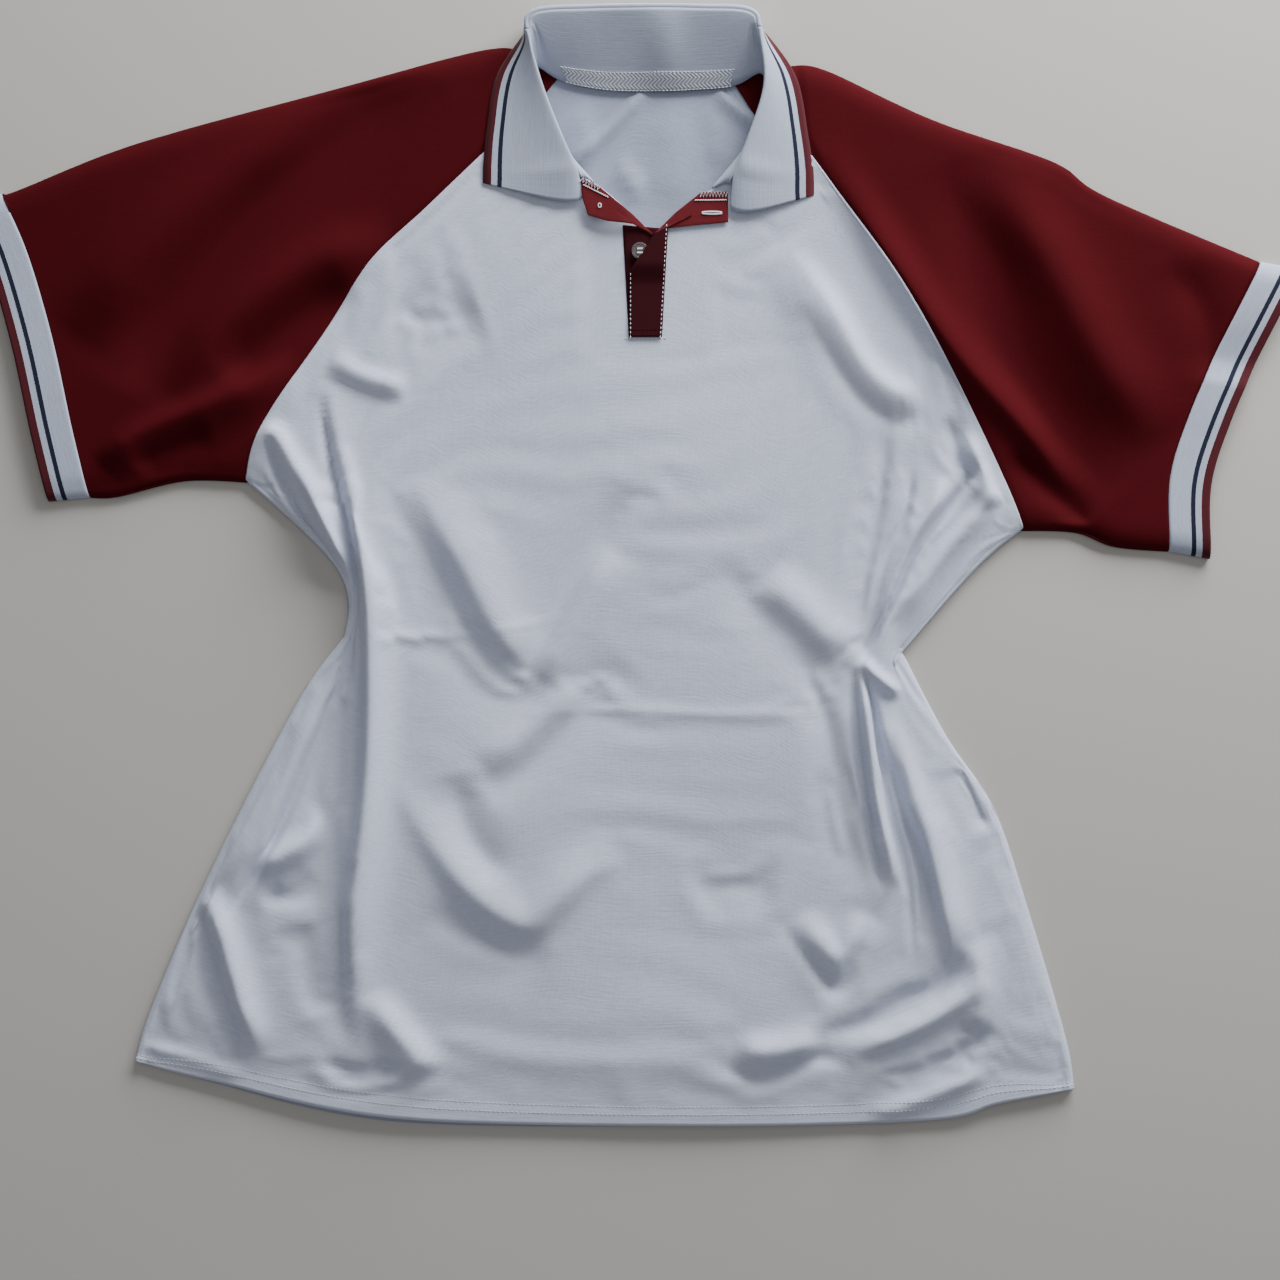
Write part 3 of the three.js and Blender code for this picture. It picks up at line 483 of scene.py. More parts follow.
def frontColumns(count):
    # closer together towards both flanks, where the folds crowd, and even at the placket
    before = int(round(count * lay["vShare"]))
    share = lay["vShare"]
    us = np.concatenate([np.linspace(0, share, before + 1), np.linspace(share, 1, count - before + 1)[1:]])
    away = 1 - np.exp(-((us - share) / front["evenReach"]) ** 2)
    return us - front["bunching"] * np.sin(2 * np.pi * us) / (np.pi * 0.5) * away


def frontNeckLine(us):
    v = np.array(lay["vBottom"]) + layShift
    rightPoints = [right["top"], np.array([-45, 263]) + layShift, np.array([-17.6, 246.4]) + layShift, v]
    leftPoints = [v, np.array([43.6, 240]) + layShift, np.array([72, 257]) + layShift, left["top"]]
    share = lay["vShare"]
    return np.array([
        curveAt(rightPoints, u / share)[0] if u <= share
        else curveAt(leftPoints, (u - share) / (1 - share))[0]
        for u in us])


def turnEdges(grid, shares, turn):
    # rolls both side edges round, so that the cloth ends in a rounded fold
    columns = [grid]
    for hand, edge in ((-1, 0), (1, -1)):
        closed = (shares <= lay["armpitShare"])[:, None]
        p = grid[:, edge]
        down = np.where(closed, [[0, 0, -turn * 0.7]], [[0, 0, -0.5]])
        under = np.where(closed, [[-hand * 1.6, 0, -turn * 1.1]], [[-hand * 0.8, 0, -0.9]])
        outwards = np.array([[hand * 0.45, 0, 0]])
        extra = np.stack([p + down + outwards, p + under], 1)
        columns = [extra[:, ::-1]] + columns if hand < 0 else columns + [extra]
    return np.concatenate(columns, 1)


def makeFrontPanel():
    vs, us = bodyShares(front["rows"]), frontColumns(front["columns"])
    out = -front["overSleeve"]
    plan = patchGrid(curveAt(hemLine, us), frontNeckLine(us), bodyEdge(right, vs, "raglan", out),
                     bodyEdge(left, vs, "raglan", out), us, vs)
    plan = relax(plan)
    z = frontHeight(plan.reshape(-1, 2)).reshape(plan.shape[:2])
    start = np.concatenate([plan, z[..., None]], 2)
    moved = refine(settleCloth(start, cloth["backTop"]) - start, front["refine"])
    plan = refine(start, front["refine"])[..., :2]
    z = frontHeight(plan.reshape(-1, 2)).reshape(plan.shape[:2])
    grid = np.concatenate([plan, z[..., None]], 2) + moved
    level = bedShare(grid[..., :2].reshape(-1, 2)).reshape(grid.shape[:2])
    grid[..., 2] += (placketBed["height"] - grid[..., 2]) * level
    shares = np.interp(np.linspace(0, 1, len(grid)), np.linspace(0, 1, len(vs)), vs)
    hemAt = lay["hemDepth"] / front["skirtRun"] * front["hemShare"]
    hemRow = int(round(np.interp(hemAt, shares, np.arange(len(shares)))))
    lift = front["hemStep"] * (1 - smooth(np.arange(len(grid)), hemRow - 1, hemRow + 1))
    grid[..., 2] += lift[:, None]
    obj = gridObject("frontPanel", turnEdges(grid, shares, front["edgeTurn"]))
    thicken(obj, cloth["thickness"])
    return obj, grid, hemRow


back = {
    "rows": 96, "columns": 90, "hemPeek": 3.0, "inset": 0.8, "thickness": 0.85, "top": 0.95, "lowest": 0.9,
    # creases that show inside the neck
    "creases": [
        ([(12, 314), (-10, 290), (-42, 260)], 4.0, 5, 2.4),
        ([(54, 312), (70, 299), (88, 286)], 3.4, 2.4, 6),
        ([(20, 300), (30, 270), (22, 235)], 1.8, 16, 16),
        ([(-10, 262), (0, 254), (8, 240)], 2.4, 5, 7),
        ([(-38, 300), (-30, 285), (-30, 262)], 1.6, 7, 12),
        ([(52, 262), (58, 280), (50, 300)], 1.6, 9, 12),
    ],
}


def makeBackPanel():
    vs, us = bodyShares(back["rows"]), np.linspace(0, 1, back["columns"] + 1)
    neck = [right["backTop"], np.array([11, 314]) + layShift, left["backTop"]]
    peek = np.array([0, -1.0]) - np.outer(back["hemPeek"] * np.exp(-((us - 0.3) / 0.16) ** 2), [0, 1])
    rightEdge, leftEdge = (bodyEdge(s, vs, "backRaglan", back["inset"]) for s in (right, left))
    plan = relax(patchGrid(curveAt(hemLine, us) + peek, curveAt(neck, us), rightEdge, leftEdge, us, vs))
    points = plan.reshape(-1, 2)
    z = np.maximum(back["top"] + foldHeight(points, back["creases"]), back["lowest"]).reshape(plan.shape[:2])
    grid = np.concatenate([plan, z[..., None]], 2)
    obj = gridObject("backPanel", grid)
    thicken(obj, back["thickness"])
    return obj, grid


sleeve = {"along": 96, "across": 88, "tuck": 5.0, "under": 1.15, "neckShare": 0.875, "edgeRound": 0.7,
          "thickness": 0.9, "blendHalf": 24}


def sleeveRoot(side, vs, curve, topName, inwards):
    share = sleeve["neckShare"]
    out = []
    for v in vs:
        p = (curveAt(side[curve], 1 - v / share)[0] if v <= share
             else side[topName] + (side["neck"] - side[topName]) * (v - share) / (1 - share))
        out.append(p - np.array([side["sign"] * inwards * (1 - smooth(v, 0.7, share)), 0]))
    return np.array(out)


def closeRing(grid):
    return np.concatenate([grid, grid[:1]], 0)


def tubeObject(name, ring, thickness, uv=None):
    # a closed tube from rows round it and columns along it
    obj = gridObject(name, closeRing(ring), uv)
    mesh = obj.data
    cleaner = bmesh.new()
    cleaner.from_mesh(mesh)
    bmesh.ops.remove_doubles(cleaner, verts=cleaner.verts, dist=1e-6)
    cleaner.normal_update()
    middle = sum(v.co.z for v in cleaner.verts) / len(cleaner.verts)
    outwards = sum(f.normal.z * f.calc_area() * (f.calc_center_median().z - middle) for f in cleaner.faces)
    if outwards < 0:
        bmesh.ops.reverse_faces(cleaner, faces=cleaner.faces)
    cleaner.to_mesh(mesh)
    cleaner.free()
    return thicken(obj, thickness)


def makeSleeve(name):
    side = sides[name]
    us = np.linspace(0, 1, sleeve["along"] + 1) ** 1.1
    across = sleeve["across"]
    vs = np.linspace(0, 1, across + 1)
    vs = 0.5 - 0.5 * np.cos(np.pi * (0.12 + 0.76 * vs)) / math.cos(math.pi * 0.12)   # finer at both edges
    lower, upper = curveAt(side["underarm"], us), curveAt(side["shoulder"], us)
    cuffUp = curveAt(side["cuff"], 1 - vs)
    top = patchGrid(lower, upper, sleeveRoot(side, vs, "raglan", "top", sleeve["tuck"]), cuffUp, us, vs)
    under = patchGrid(lower, upper, sleeveRoot(side, vs, "backRaglan", "backTop", 3), cuffUp, us, vs)
    z = frontHeight(top.reshape(-1, 2)).reshape(top.shape[:2])
    rampTop = 1 - smooth(np.linalg.norm(top - top[:, :1], axis=2), 4, 11)
    z = z - sleeve["under"] * rampTop
    rampUnder = 1 - smooth(np.linalg.norm(under - under[:, :1], axis=2), 3, 9)
    zUnder = np.full(under.shape[:2], 0.02) + 1.0 * rampUnder
    top = np.concatenate([top, z[..., None]], 2)
    under = np.concatenate([under, zUnder[..., None]], 2)
    ends = []
    for edge, toward in ((-1, 1), (0, -1)):
        tangent = np.gradient(top[edge, :, :2], axis=0)
        aside = np.stack([tangent[:, 1], -tangent[:, 0]], 1) * (side["sign"] * toward * -1)
        aside /= np.maximum(np.hypot(*aside.T)[:, None], 1e-9)
        middle = top[edge].copy()
        middle[:, :2] += aside * sleeve["edgeRound"]
        middle[:, 2] = (top[edge, :, 2] + under[edge, :, 2]) / 2
        ends.append(middle[None])
    ring = np.concatenate([top, ends[0], under[::-1], ends[1]], 0)
    return tubeObject(name + "Sleeve", ring, sleeve["thickness"]), top


cuffs = {
    "depth": 27, "along": 20, "across": 90, "thickness": 1.2, "lift": 0.35, "flare": 0.5, "edgeRound": 0.8,
}


def makeCuff(name):
    side = sides[name]
    fall = math.radians(side["cuffFall"])
    reach = np.array([side["sign"] * math.cos(fall), -math.sin(fall)]) * cuffs["depth"]
    vs = np.linspace(0, 1, cuffs["across"] + 1)
    us = np.linspace(0, 1, cuffs["along"] + 1)
    seam = curveAt(side["cuff"], 1 - vs) + np.array([side["sign"] * 0.2, 0])
    plan = seam[:, None] + us[None, :, None] * reach
    z = frontHeight(plan[:, 0])[:, None] + cuffs["lift"] * smooth(us, 0, 0.05) + cuffs["flare"] * us ** 2
    top = np.concatenate([plan, z[..., None]], 2)
    under = np.concatenate([plan, np.full(z.shape, 0.03)[..., None]], 2)
    ends = []
    for edge, toward in ((-1, 1), (0, -1)):
        middle = top[edge].copy()
        middle[:, 1] += toward * cuffs["edgeRound"]
        middle[:, 2] = (top[edge, :, 2] + under[edge, :, 2]) / 2
        ends.append(middle[None])
    ring = np.concatenate([top, ends[0], under[::-1], ends[1]], 0)
    around = np.linalg.norm(np.diff(closeRing(ring)[:, -1], axis=0), axis=1)
    around = np.concatenate([[0], np.cumsum(around)])[:, None].repeat(len(us), 1)
    fromEdge = (cuffs["depth"] * (1 - us))[None].repeat(len(around), 0)
    obj = tubeObject(name + "Cuff", ring, cuffs["thickness"], np.stack([around, fromEdge], -1))
    return obj, top


collar = {
    "thickness": 1.3, "columns": 150, "standRows": 16, "leafRows": 26,
    "foot": [(-23, 249.5), (-50, 281), (-62, 308), (-61, 325), (-44, 317), (-17, 311.5), (13, 310.5),
             (43, 311.5), (68, 314), (85, 321), (89, 305), (80, 280), (53, 246)],
    "roll": [(-31.5, 252), (-44.5, 280), (-57.5, 314), (-65, 344), (-60, 356.5), (-26, 358.8), (10, 359.4),
             (46, 359), (76, 357.2), (82.5, 345), (86.5, 312), (76, 277), (64.5, 249)],
    "rollHeightFront": 10.2, "rollHeightBack": 21, "footHeightFront": 7.6, "footHeightBack": 2.4,
    "leafStart": 0.02, "leafEnd": 0.258, "frontShare": 0.1,
}
leaves = {
    "right": {"outwards": -1, "frontEnd": (-30.5, 239.6), "frontBow": 3.0, "edgeHeight": 8.2,
              "edge": [(-95, 249.5), (-94.7, 262), (-92.5, 284), (-86.5, 318), (-69, 346)]},
    "left": {"outwards": 1, "frontEnd": (65.0, 233), "frontBow": 3.0, "edgeHeight": 8.2,
             "edge": [(119, 241.5), (118.5, 258), (115, 281), (107.5, 318), (88, 347)]},
}
up = np.array([0, 0, 1.0])


def rollAt(s):
    s = np.atleast_1d(s)
    plan = curveAt(collar["roll"], s) + layShift
    rise = np.sqrt(np.maximum(np.sin(np.pi * s), 0))
    z = collar["rollHeightFront"] + (collar["rollHeightBack"] - collar["rollHeightFront"]) * rise
    return np.concatenate([plan, z[:, None]], 1)


def footAt(s):
    s = np.atleast_1d(s)
    plan = curveAt(collar["foot"], s) + layShift
    nearBack = 1 - smooth(np.abs(s - 0.5), 0.17, 0.3)
    z = collar["footHeightFront"] + (collar["footHeightBack"] - collar["footHeightFront"]) * nearBack
    return np.concatenate([plan, z[:, None]], 1)


def outwardsAt(s):
    d = rollAt(np.minimum(s + 0.004, 1)) - rollAt(np.maximum(s - 0.004, 0))
    out = np.stack([-d[:, 1], d[:, 0], np.zeros(len(d))], 1)
    return out / np.linalg.norm(out, axis=1)[:, None]


def foldTangent(s):
    # which way the knit heads as it reaches the fold: nearly level at the back, steep at the sides
    out = outwardsAt(s)
    lead = ((footAt(s) - rollAt(s)) * out).sum(1)
    angle = np.radians(12 + 72 * smooth(lead, -8, 2))[:, None]
    return out * np.cos(angle) + up * np.sin(angle), angle


def bezier(a, b, c, d, t):
    t = t[:, None, None]
    return (1 - t) ** 3 * a + 3 * t * (1 - t) ** 2 * b + 3 * t * t * (1 - t) * c + t ** 3 * d


def standRows(s, ws):
    foot, roll = footAt(s), rollAt(s)
    tangent, _ = foldTangent(s)
    plan = np.linalg.norm((roll - foot)[:, :2], axis=1)[:, None]
    leaving = foot + (roll - foot) * 0.3 + up * 1.2
    grid = bezier(foot, leaving, roll - tangent * (2.2 + 0.22 * plan), roll, ws)
    # shallow dents where the stand slumps behind the neck
    middle = np.sin(np.pi * ws)[:, None]
    grid[..., 2] += softDents(grid, 0.35) * middle
    nearBack = (1 - smooth(np.abs(s - 0.5), 0.13, 0.18))[None]
    dent = np.exp(-((grid[..., 0] - 22) / 12) ** 2) * 2.0 - np.exp(-((grid[..., 0] + 12) / 26) ** 2) * 1.4
    grid[..., 2] += dent * middle * nearBack
    return grid


def softDents(points, depth):
    x, y = points[..., 0], points[..., 1]
    wave = np.sin(x / 17 + y / 41) + 0.8 * np.sin(x / 9.5 - y / 23 + 1.3) + 0.5 * np.sin(y / 12 + x / 60)
    return depth * wave


def makeStand():
    s = np.linspace(0, 1, collar["columns"] + 1)
    ws = np.linspace(0, 1, collar["standRows"] + 1) ** 0.8
    grid = standRows(s, ws)
    obj = gridObject("collarStand", grid)
    return thicken(obj, collar["thickness"], 0), grid


def leafSections(name, ts, ws):
    leaf, start = leaves[name], collar["frontShare"]
    along = np.clip((ts - start) / (1 - start), 0, 1)
    s = collar["leafStart"] + (collar["leafEnd"] - collar["leafStart"]) * along
    s = s if leaf["outwards"] < 0 else 1 - s
    roll = rollAt(s)
    tangent, angle = foldTangent(s)
    ahead = np.clip(1 - ts / start, 0, 1)[:, None]
    end = np.concatenate([np.array(leaf["frontEnd"]) + layShift, [collar["rollHeightFront"] - 1.2]])
    roll = roll + ahead * (end - roll)
    edgePlan = curveAt(leaf["edge"], ts) + layShift
    edgeZ = leaf["edgeHeight"] - 4.5 * ts ** 5
    edge = np.concatenate([edgePlan, edgeZ[:, None]], 1)
    across = edge - roll
    across[:, 2] = 0
    leaving = roll + tangent * (2.6 + 6 * np.cos(angle) ** 2)
    grid = bezier(roll, leaving, edge - across * 0.55 + up * 2.0, edge, ws)
    bow = leaf["frontBow"] * np.clip(1 - ts / 0.35, 0, 1) ** 2
    grid[..., 1] -= np.sin(np.pi * ws)[:, None] * bow[None]
    grid[..., 2] += softDents(grid, 0.22) * np.sin(np.pi * ws)[:, None]
    return grid


def edgeMap(grid):
    # u runs along the collar and v is the distance from its outer edge
    flat = flatMap(grid.transpose(1, 0, 2))
    width = flat[:, -1, 0] - flat[:, 0, 0]
    v = width[None, :] - (flat[..., 0] - flat[:, :1, 0]).T
    steps = np.linalg.norm(np.diff(grid[-1], axis=0), axis=1)
    u = np.concatenate([[0], np.cumsum(steps)])[None, :].repeat(len(grid), 0)
    return np.stack([u, v], -1)


def makeLeaf(name):
    ts = np.linspace(0, 1, 76)
    ws = np.linspace(0, 1, collar["leafRows"] + 1) ** 1.35
    grid = leafSections(name, ts, ws)
    obj = gridObject(name + "Leaf", grid, edgeMap(grid))
    return thicken(obj, collar["thickness"], 0), grid


def makeBackLeaf():
    # from the fold down behind the neck and under, level on the table
    first, last = collar["leafEnd"], 1 - collar["leafEnd"]
    s = np.linspace(first, last, 70)
    ws = np.linspace(0, 1, collar["leafRows"] + 1) ** 1.35
    roll = rollAt(s)
    tangent, _ = foldTangent(s)
    path = [roll, roll + tangent * 2.4 + [0, 0, -1], roll + [0, 3.2, -8], roll + [0, 1.5, -15]]
    for back, z in ((-8, 1.0), (-27, 0.7)):
        path.append(np.concatenate([roll[:, :2] + [0, back], np.full((len(s), 1), z)], 1))
    path = np.array(path)
    turned = curveAt(path.reshape(len(path), -1), ws).reshape(len(ws), len(s), 3)
    corners = [leafSections(n, np.array([1.0]), ws) for n in ("right", "left")]
    shares = 1 - smooth(s, first, first + 0.05), smooth(s, last - 0.05, last)
    for grid, share in zip(corners, shares):
        turned = turned * (1 - share[None, :, None]) + (grid - grid[:1] + roll[None]) * share[None, :, None]
    obj = gridObject("backLeaf", turned, edgeMap(turned))
    return thicken(obj, collar["thickness"], 0), turned


tape = {"from": 0.345, "to": 0.655, "low": 0.0, "high": 0.225, "thickness": 0.7}


def makeTape():
    s = np.linspace(tape["from"], tape["to"], 90)
    ws = np.linspace(tape["low"], tape["high"], 7)
    grid = standRows(s, ws)
    clear = (collar["thickness"] + tape["thickness"]) / 2 + 0.1
    grid = grid + np.array([0, -0.4, 0.9]) * clear
    obj = gridObject("neckTape", grid)
    return thicken(obj, tape["thickness"], 0), grid


placket = {"length": 66, "width": 21.5, "spread": 8, "footX": 10, "cloth": 0.9, "top": 7.9, "rise": 3.2}
lowerButton = np.array([6.5, 205.4])


# rings of a plate from its rim inwards: share of the outline, and how far below the top
plateRings = [(1.0, 0.525), (0.99, 0.175), (0.96, 0.1), (0.9, 0), (0.75, 0), (0.5, 0), (0.25, 0), (0.02, 0)]


def slopedPlate(name, outline, heightAt, thickness):
    # a flat band or flap cut to an outline, with softly rounded edges
    outline = np.array(outline, float)
    closed = np.concatenate([outline, outline[:1]])
    rim = np.concatenate([a + (b - a) * np.linspace(0, 1, 14, endpoint=False)[:, None]
                          for a, b in zip(closed[:-1], closed[1:])])
    middle = outline.mean(0)
    rings = []
    for share, drop in plateRings:
        plan = middle + (rim - middle) * share + layShift
        z = heightAt(plan - layShift) - drop
        rings.append(np.concatenate([plan, z[:, None]], 1))
    rings = np.array(rings)
    rings = np.concatenate([rings, rings[:, :1]], 1)
    uv = (rings[..., :2] - rings[..., :2].min((0, 1)))
    obj = gridObject(name, rings, uv)
    tidy = bmesh.new()
    tidy.from_mesh(obj.data)
    bmesh.ops.remove_doubles(tidy, verts=tidy.verts, dist=2e-6)
    centre = Vector((*((middle + layShift) * mm), 0))
    inner = [e for e in tidy.edges
             if e.is_boundary and all((v.co - centre).xy.length < 0.0015 for v in e.verts)]
    bmesh.ops.holes_fill(tidy, edges=inner, sides=0)
    tidy.normal_update()
    if sum(f.normal.z for f in tidy.faces) < 0:
        bmesh.ops.reverse_faces(tidy, faces=tidy.faces)
    tidy.to_mesh(obj.data)
    tidy.free()
    area = 0.5 * abs(sum(a[0] * b[1] - a[1] * b[0] for a, b in zip(closed[:-1], closed[1:])))
    return thicken(obj, thickness), tuple(np.ptp(outline, axis=0) * mm), area * mm * mm


def line(a, b, ts):
    a, b = np.array(a, float), np.array(b, float)
    return a + (b - a) * ts[:, None]


def overBandHeight(p):
    rise = placket["rise"] * smooth(p[:, 1], lowerButton[1] - 22, lowerButton[1] - 7)
    return placket["top"] + 0.25 + rise


def makeBands():
    foot = lay["vBottom"][1] - 0.5 - placket["length"]
    x, half = placket["footX"], placket["width"] / 2
    wide = half + placket["spread"] / 2
    v = np.array(lay["vBottom"])
    underTop = placket["top"] - 0.6
    us, vs = np.linspace(0, 1, 17), np.linspace(0, 1, 61)

    def band(name, leftEdge, rightEdge, heightAt):
        plan = leftEdge[:, None] * (1 - us)[None, :, None] + rightEdge[:, None] * us[None, :, None]
        z = heightAt(plan.reshape(-1, 2)).reshape(plan.shape[:2])
        rolled = np.minimum(np.minimum(us, 1 - us) / 0.06, 1)
        z = z - 0.45 * (1 - np.sqrt(1 - (1 - rolled) ** 2))[None]
        points = np.concatenate([plan + layShift, z[..., None]], 2)
        return thicken(gridObject(name, points), placket["cloth"]), points

    under = band("placketUnderBand", line((x - half, foot), (x - wide, v[1] + 6), vs),
                 line((x + half - 1, foot + 1), (x + 9, v[1] + 4), vs), lambda p: np.full(len(p), underTop))
    slantStart, slantEnd = np.array([x - half, lowerButton[1] - 14]), np.array([v[0], v[1] - 0.5])
    leftEdge = np.where(vs[:, None] < 0.6, line((x - half, foot), slantStart, np.minimum(vs / 0.6, 1)),
                        line(slantStart, slantEnd, np.clip((vs - 0.6) / 0.4, 0, 1)))
    over = band("placketOverBand", leftEdge, line((x + half, foot), (x + wide, v[1] + 5), vs), overBandHeight)
    return under, over


flaps = {
    "right": [(-31.8, 252.5), (-30.5, 238), (-27, 228), (-14.4, 224.2), (1.8, 222.6), (15.8, 215.6),
              (2.2, 228.6), (-9, 237.6), (-19.8, 246.6)],
    "left": [(46, 243.5), (63.4, 243.9), (63.6, 224.1), (40, 222), (21.7, 219.8), (14.8, 215.8),
             (29.4, 230.4)],
}


def rightFlapHeight(p):
    return placket["top"] + 0.7 + 3.6 * smooth(lay["vBottom"][0] - p[:, 0], 4, 22)


def leftFlapHeight(p):
    return np.full(len(p), placket["top"] + 0.7)


def stitchTree():
    # short threads along a path, each one a small rounded bar
    tree = bpy.data.node_groups.new("stitchRun", "GeometryNodeTree")
    face = tree.interface
    face.new_socket("Path", in_out="INPUT", socket_type="NodeSocketGeometry")
    sizes = {"Pitch": 0.0028, "Length": 0.0019, "Width": 0.0005, "Height": 0.00035, "Slant": 0.0}
    for name, value in sizes.items():
        face.new_socket(name, in_out="INPUT", socket_type="NodeSocketFloat").default_value = value
    face.new_socket("Thread", in_out="INPUT", socket_type="NodeSocketMaterial")
    face.new_socket("Geometry", in_out="OUTPUT", socket_type="NodeSocketGeometry")
    node, link = tree.nodes.new, tree.links.new
    entry, result = node("NodeGroupInput"), node("NodeGroupOutput")
    toCurve, resample = node("GeometryNodeMeshToCurve"), node("GeometryNodeResampleCurve")
    resample.mode = "LENGTH"
    tangent = node("GeometryNodeInputTangent")
    align = node("FunctionNodeAlignEulerToVector")
    align.axis = "X"
    slant = node("FunctionNodeRotateEuler")
    slant.space = "LOCAL"
    turn = node("ShaderNodeCombineXYZ")
    bar = node("GeometryNodeMeshUVSphere")
    bar.inputs["Segments"].default_value, bar.inputs["Rings"].default_value = 6, 4
    bar.inputs["Radius"].default_value = 0.5
    size = node("ShaderNodeCombineXYZ")
    place, real = node("GeometryNodeInstanceOnPoints"), node("GeometryNodeRealizeInstances")
    shade, paint = node("GeometryNodeSetShadeSmooth"), node("GeometryNodeSetMaterial")
    link(entry.outputs["Path"], toCurve.inputs["Mesh"])
    link(toCurve.outputs["Curve"], resample.inputs["Curve"])
    link(entry.outputs["Pitch"], resample.inputs["Length"])
    link(tangent.outputs[0], align.inputs["Vector"])
    link(align.outputs[0], slant.inputs["Rotation"])
    link(entry.outputs["Slant"], turn.inputs["Z"])
    link(turn.outputs[0], slant.inputs["Rotate By"])
    for name, axis in (("Length", "X"), ("Width", "Y"), ("Height", "Z")):
        link(entry.outputs[name], size.inputs[axis])
    link(resample.outputs["Curve"], place.inputs["Points"])
    link(bar.outputs["Mesh"], place.inputs["Instance"])
    link(slant.outputs[0], place.inputs["Rotation"])
    link(size.outputs[0], place.inputs["Scale"])
    link(place.outputs["Instances"], real.inputs["Geometry"])
    link(real.outputs[0], shade.inputs["Geometry"])
    link(shade.outputs[0], paint.inputs["Geometry"])
    link(entry.outputs["Thread"], paint.inputs["Material"])
    link(paint.outputs[0], result.inputs["Geometry"])
    return tree


def threadTree():
    # an unbroken thread along a path
    tree = bpy.data.node_groups.new("threadRun", "GeometryNodeTree")
    face = tree.interface
    face.new_socket("Path", in_out="INPUT", socket_type="NodeSocketGeometry")
    face.new_socket("Radius", in_out="INPUT", socket_type="NodeSocketFloat").default_value = 0.0003
    face.new_socket("Thread", in_out="INPUT", socket_type="NodeSocketMaterial")
    face.new_socket("Geometry", in_out="OUTPUT", socket_type="NodeSocketGeometry")
    node, link = tree.nodes.new, tree.links.new
    entry, result = node("NodeGroupInput"), node("NodeGroupOutput")
    toCurve, circle = node("GeometryNodeMeshToCurve"), node("GeometryNodeCurvePrimitiveCircle")
    circle.inputs["Resolution"].default_value = 6
    sweep, real = node("GeometryNodeCurveToMesh"), node("GeometryNodeRealizeInstances")
    paint = node("GeometryNodeSetMaterial")
    sweep.inputs["Fill Caps"].default_value = True
    link(entry.outputs["Path"], toCurve.inputs["Mesh"])
    link(entry.outputs["Radius"], circle.inputs["Radius"])
    link(toCurve.outputs["Curve"], sweep.inputs["Curve"])
    link(circle.outputs["Curve"], sweep.inputs["Profile Curve"])
    link(sweep.outputs["Mesh"], real.inputs["Geometry"])
    link(real.outputs[0], paint.inputs["Geometry"])
    link(entry.outputs["Thread"], paint.inputs["Material"])
    link(paint.outputs[0], result.inputs["Geometry"])
    return tree


def sewn(name, tree, paths, thread, **values):
    # runs a tree over its paths and keeps the result as plain mesh
    vertices, edges = [], []
    for path in paths:
        start = len(vertices)
        vertices += [tuple(p) for p in np.asarray(path) * mm]
        edges += [(start + i, start + i + 1) for i in range(len(path) - 1)]
    mesh = bpy.data.meshes.new(name)
    mesh.from_pydata(vertices, edges, [])
    obj = bpy.data.objects.new(name, mesh)
    bpy.context.collection.objects.link(obj)
    modifier = obj.modifiers.new("sewing", "NODES")
    modifier.node_group = tree
    sockets = {item.name: item.identifier for item in tree.interface.items_tree if item.in_out == "INPUT"}
    modifier[sockets["Thread"]] = thread
    for key, value in values.items():
        modifier[sockets[key]] = value
    finishMesh(obj)
    return obj


def newGroup(name, inputs, outputs):
    tree = bpy.data.node_groups.new(name, "ShaderNodeTree")
    for key, kind, value in inputs:
        socket = tree.interface.new_socket(key, in_out="INPUT", socket_type=kind)
        socket.default_value = value
    for key, kind in outputs:
        tree.interface.new_socket(key, in_out="OUTPUT", socket_type=kind)
    return tree, tree.nodes.new("NodeGroupInput"), tree.nodes.new("NodeGroupOutput")


def maths(tree, operation, a, b=None, c=None):
    n = tree.nodes.new("ShaderNodeMath")
    n.operation = operation
    for socket, value in zip(n.inputs, (a, b, c)):
        if value is None:
            continue
        if isinstance(value, (int, float)):
            socket.default_value = value
        else:
            tree.links.new(value, socket)
    return n.outputs[0]


def mixColours(tree, factor, a, b):
    n = tree.nodes.new("ShaderNodeMix")
    n.data_type = "RGBA"
    for socket, value in ((n.inputs["Factor"], factor), (n.inputs[6], a), (n.inputs[7], b)):
        if isinstance(value, (int, float, tuple)):
            socket.default_value = value
        else:
            tree.links.new(value, socket)
    return n.outputs[2]


number, colour, vector = "NodeSocketFloat", "NodeSocketColor", "NodeSocketVector"


def noiseAt(tree, vectorSocket, scale, detail=2.0, roughness=0.5):
    n = tree.nodes.new("ShaderNodeTexNoise")
    n.inputs["Scale"].default_value = scale
    n.inputs["Detail"].default_value = detail
    n.inputs["Roughness"].default_value = roughness
    tree.links.new(vectorSocket, n.inputs["Vector"])
    return n.outputs[0]


def scaledVector(tree, vectorSocket, scale):
    n = tree.nodes.new("ShaderNodeMapping")
    n.inputs["Scale"].default_value = scale
    tree.links.new(vectorSocket, n.inputs["Vector"])
    return n.outputs[0]


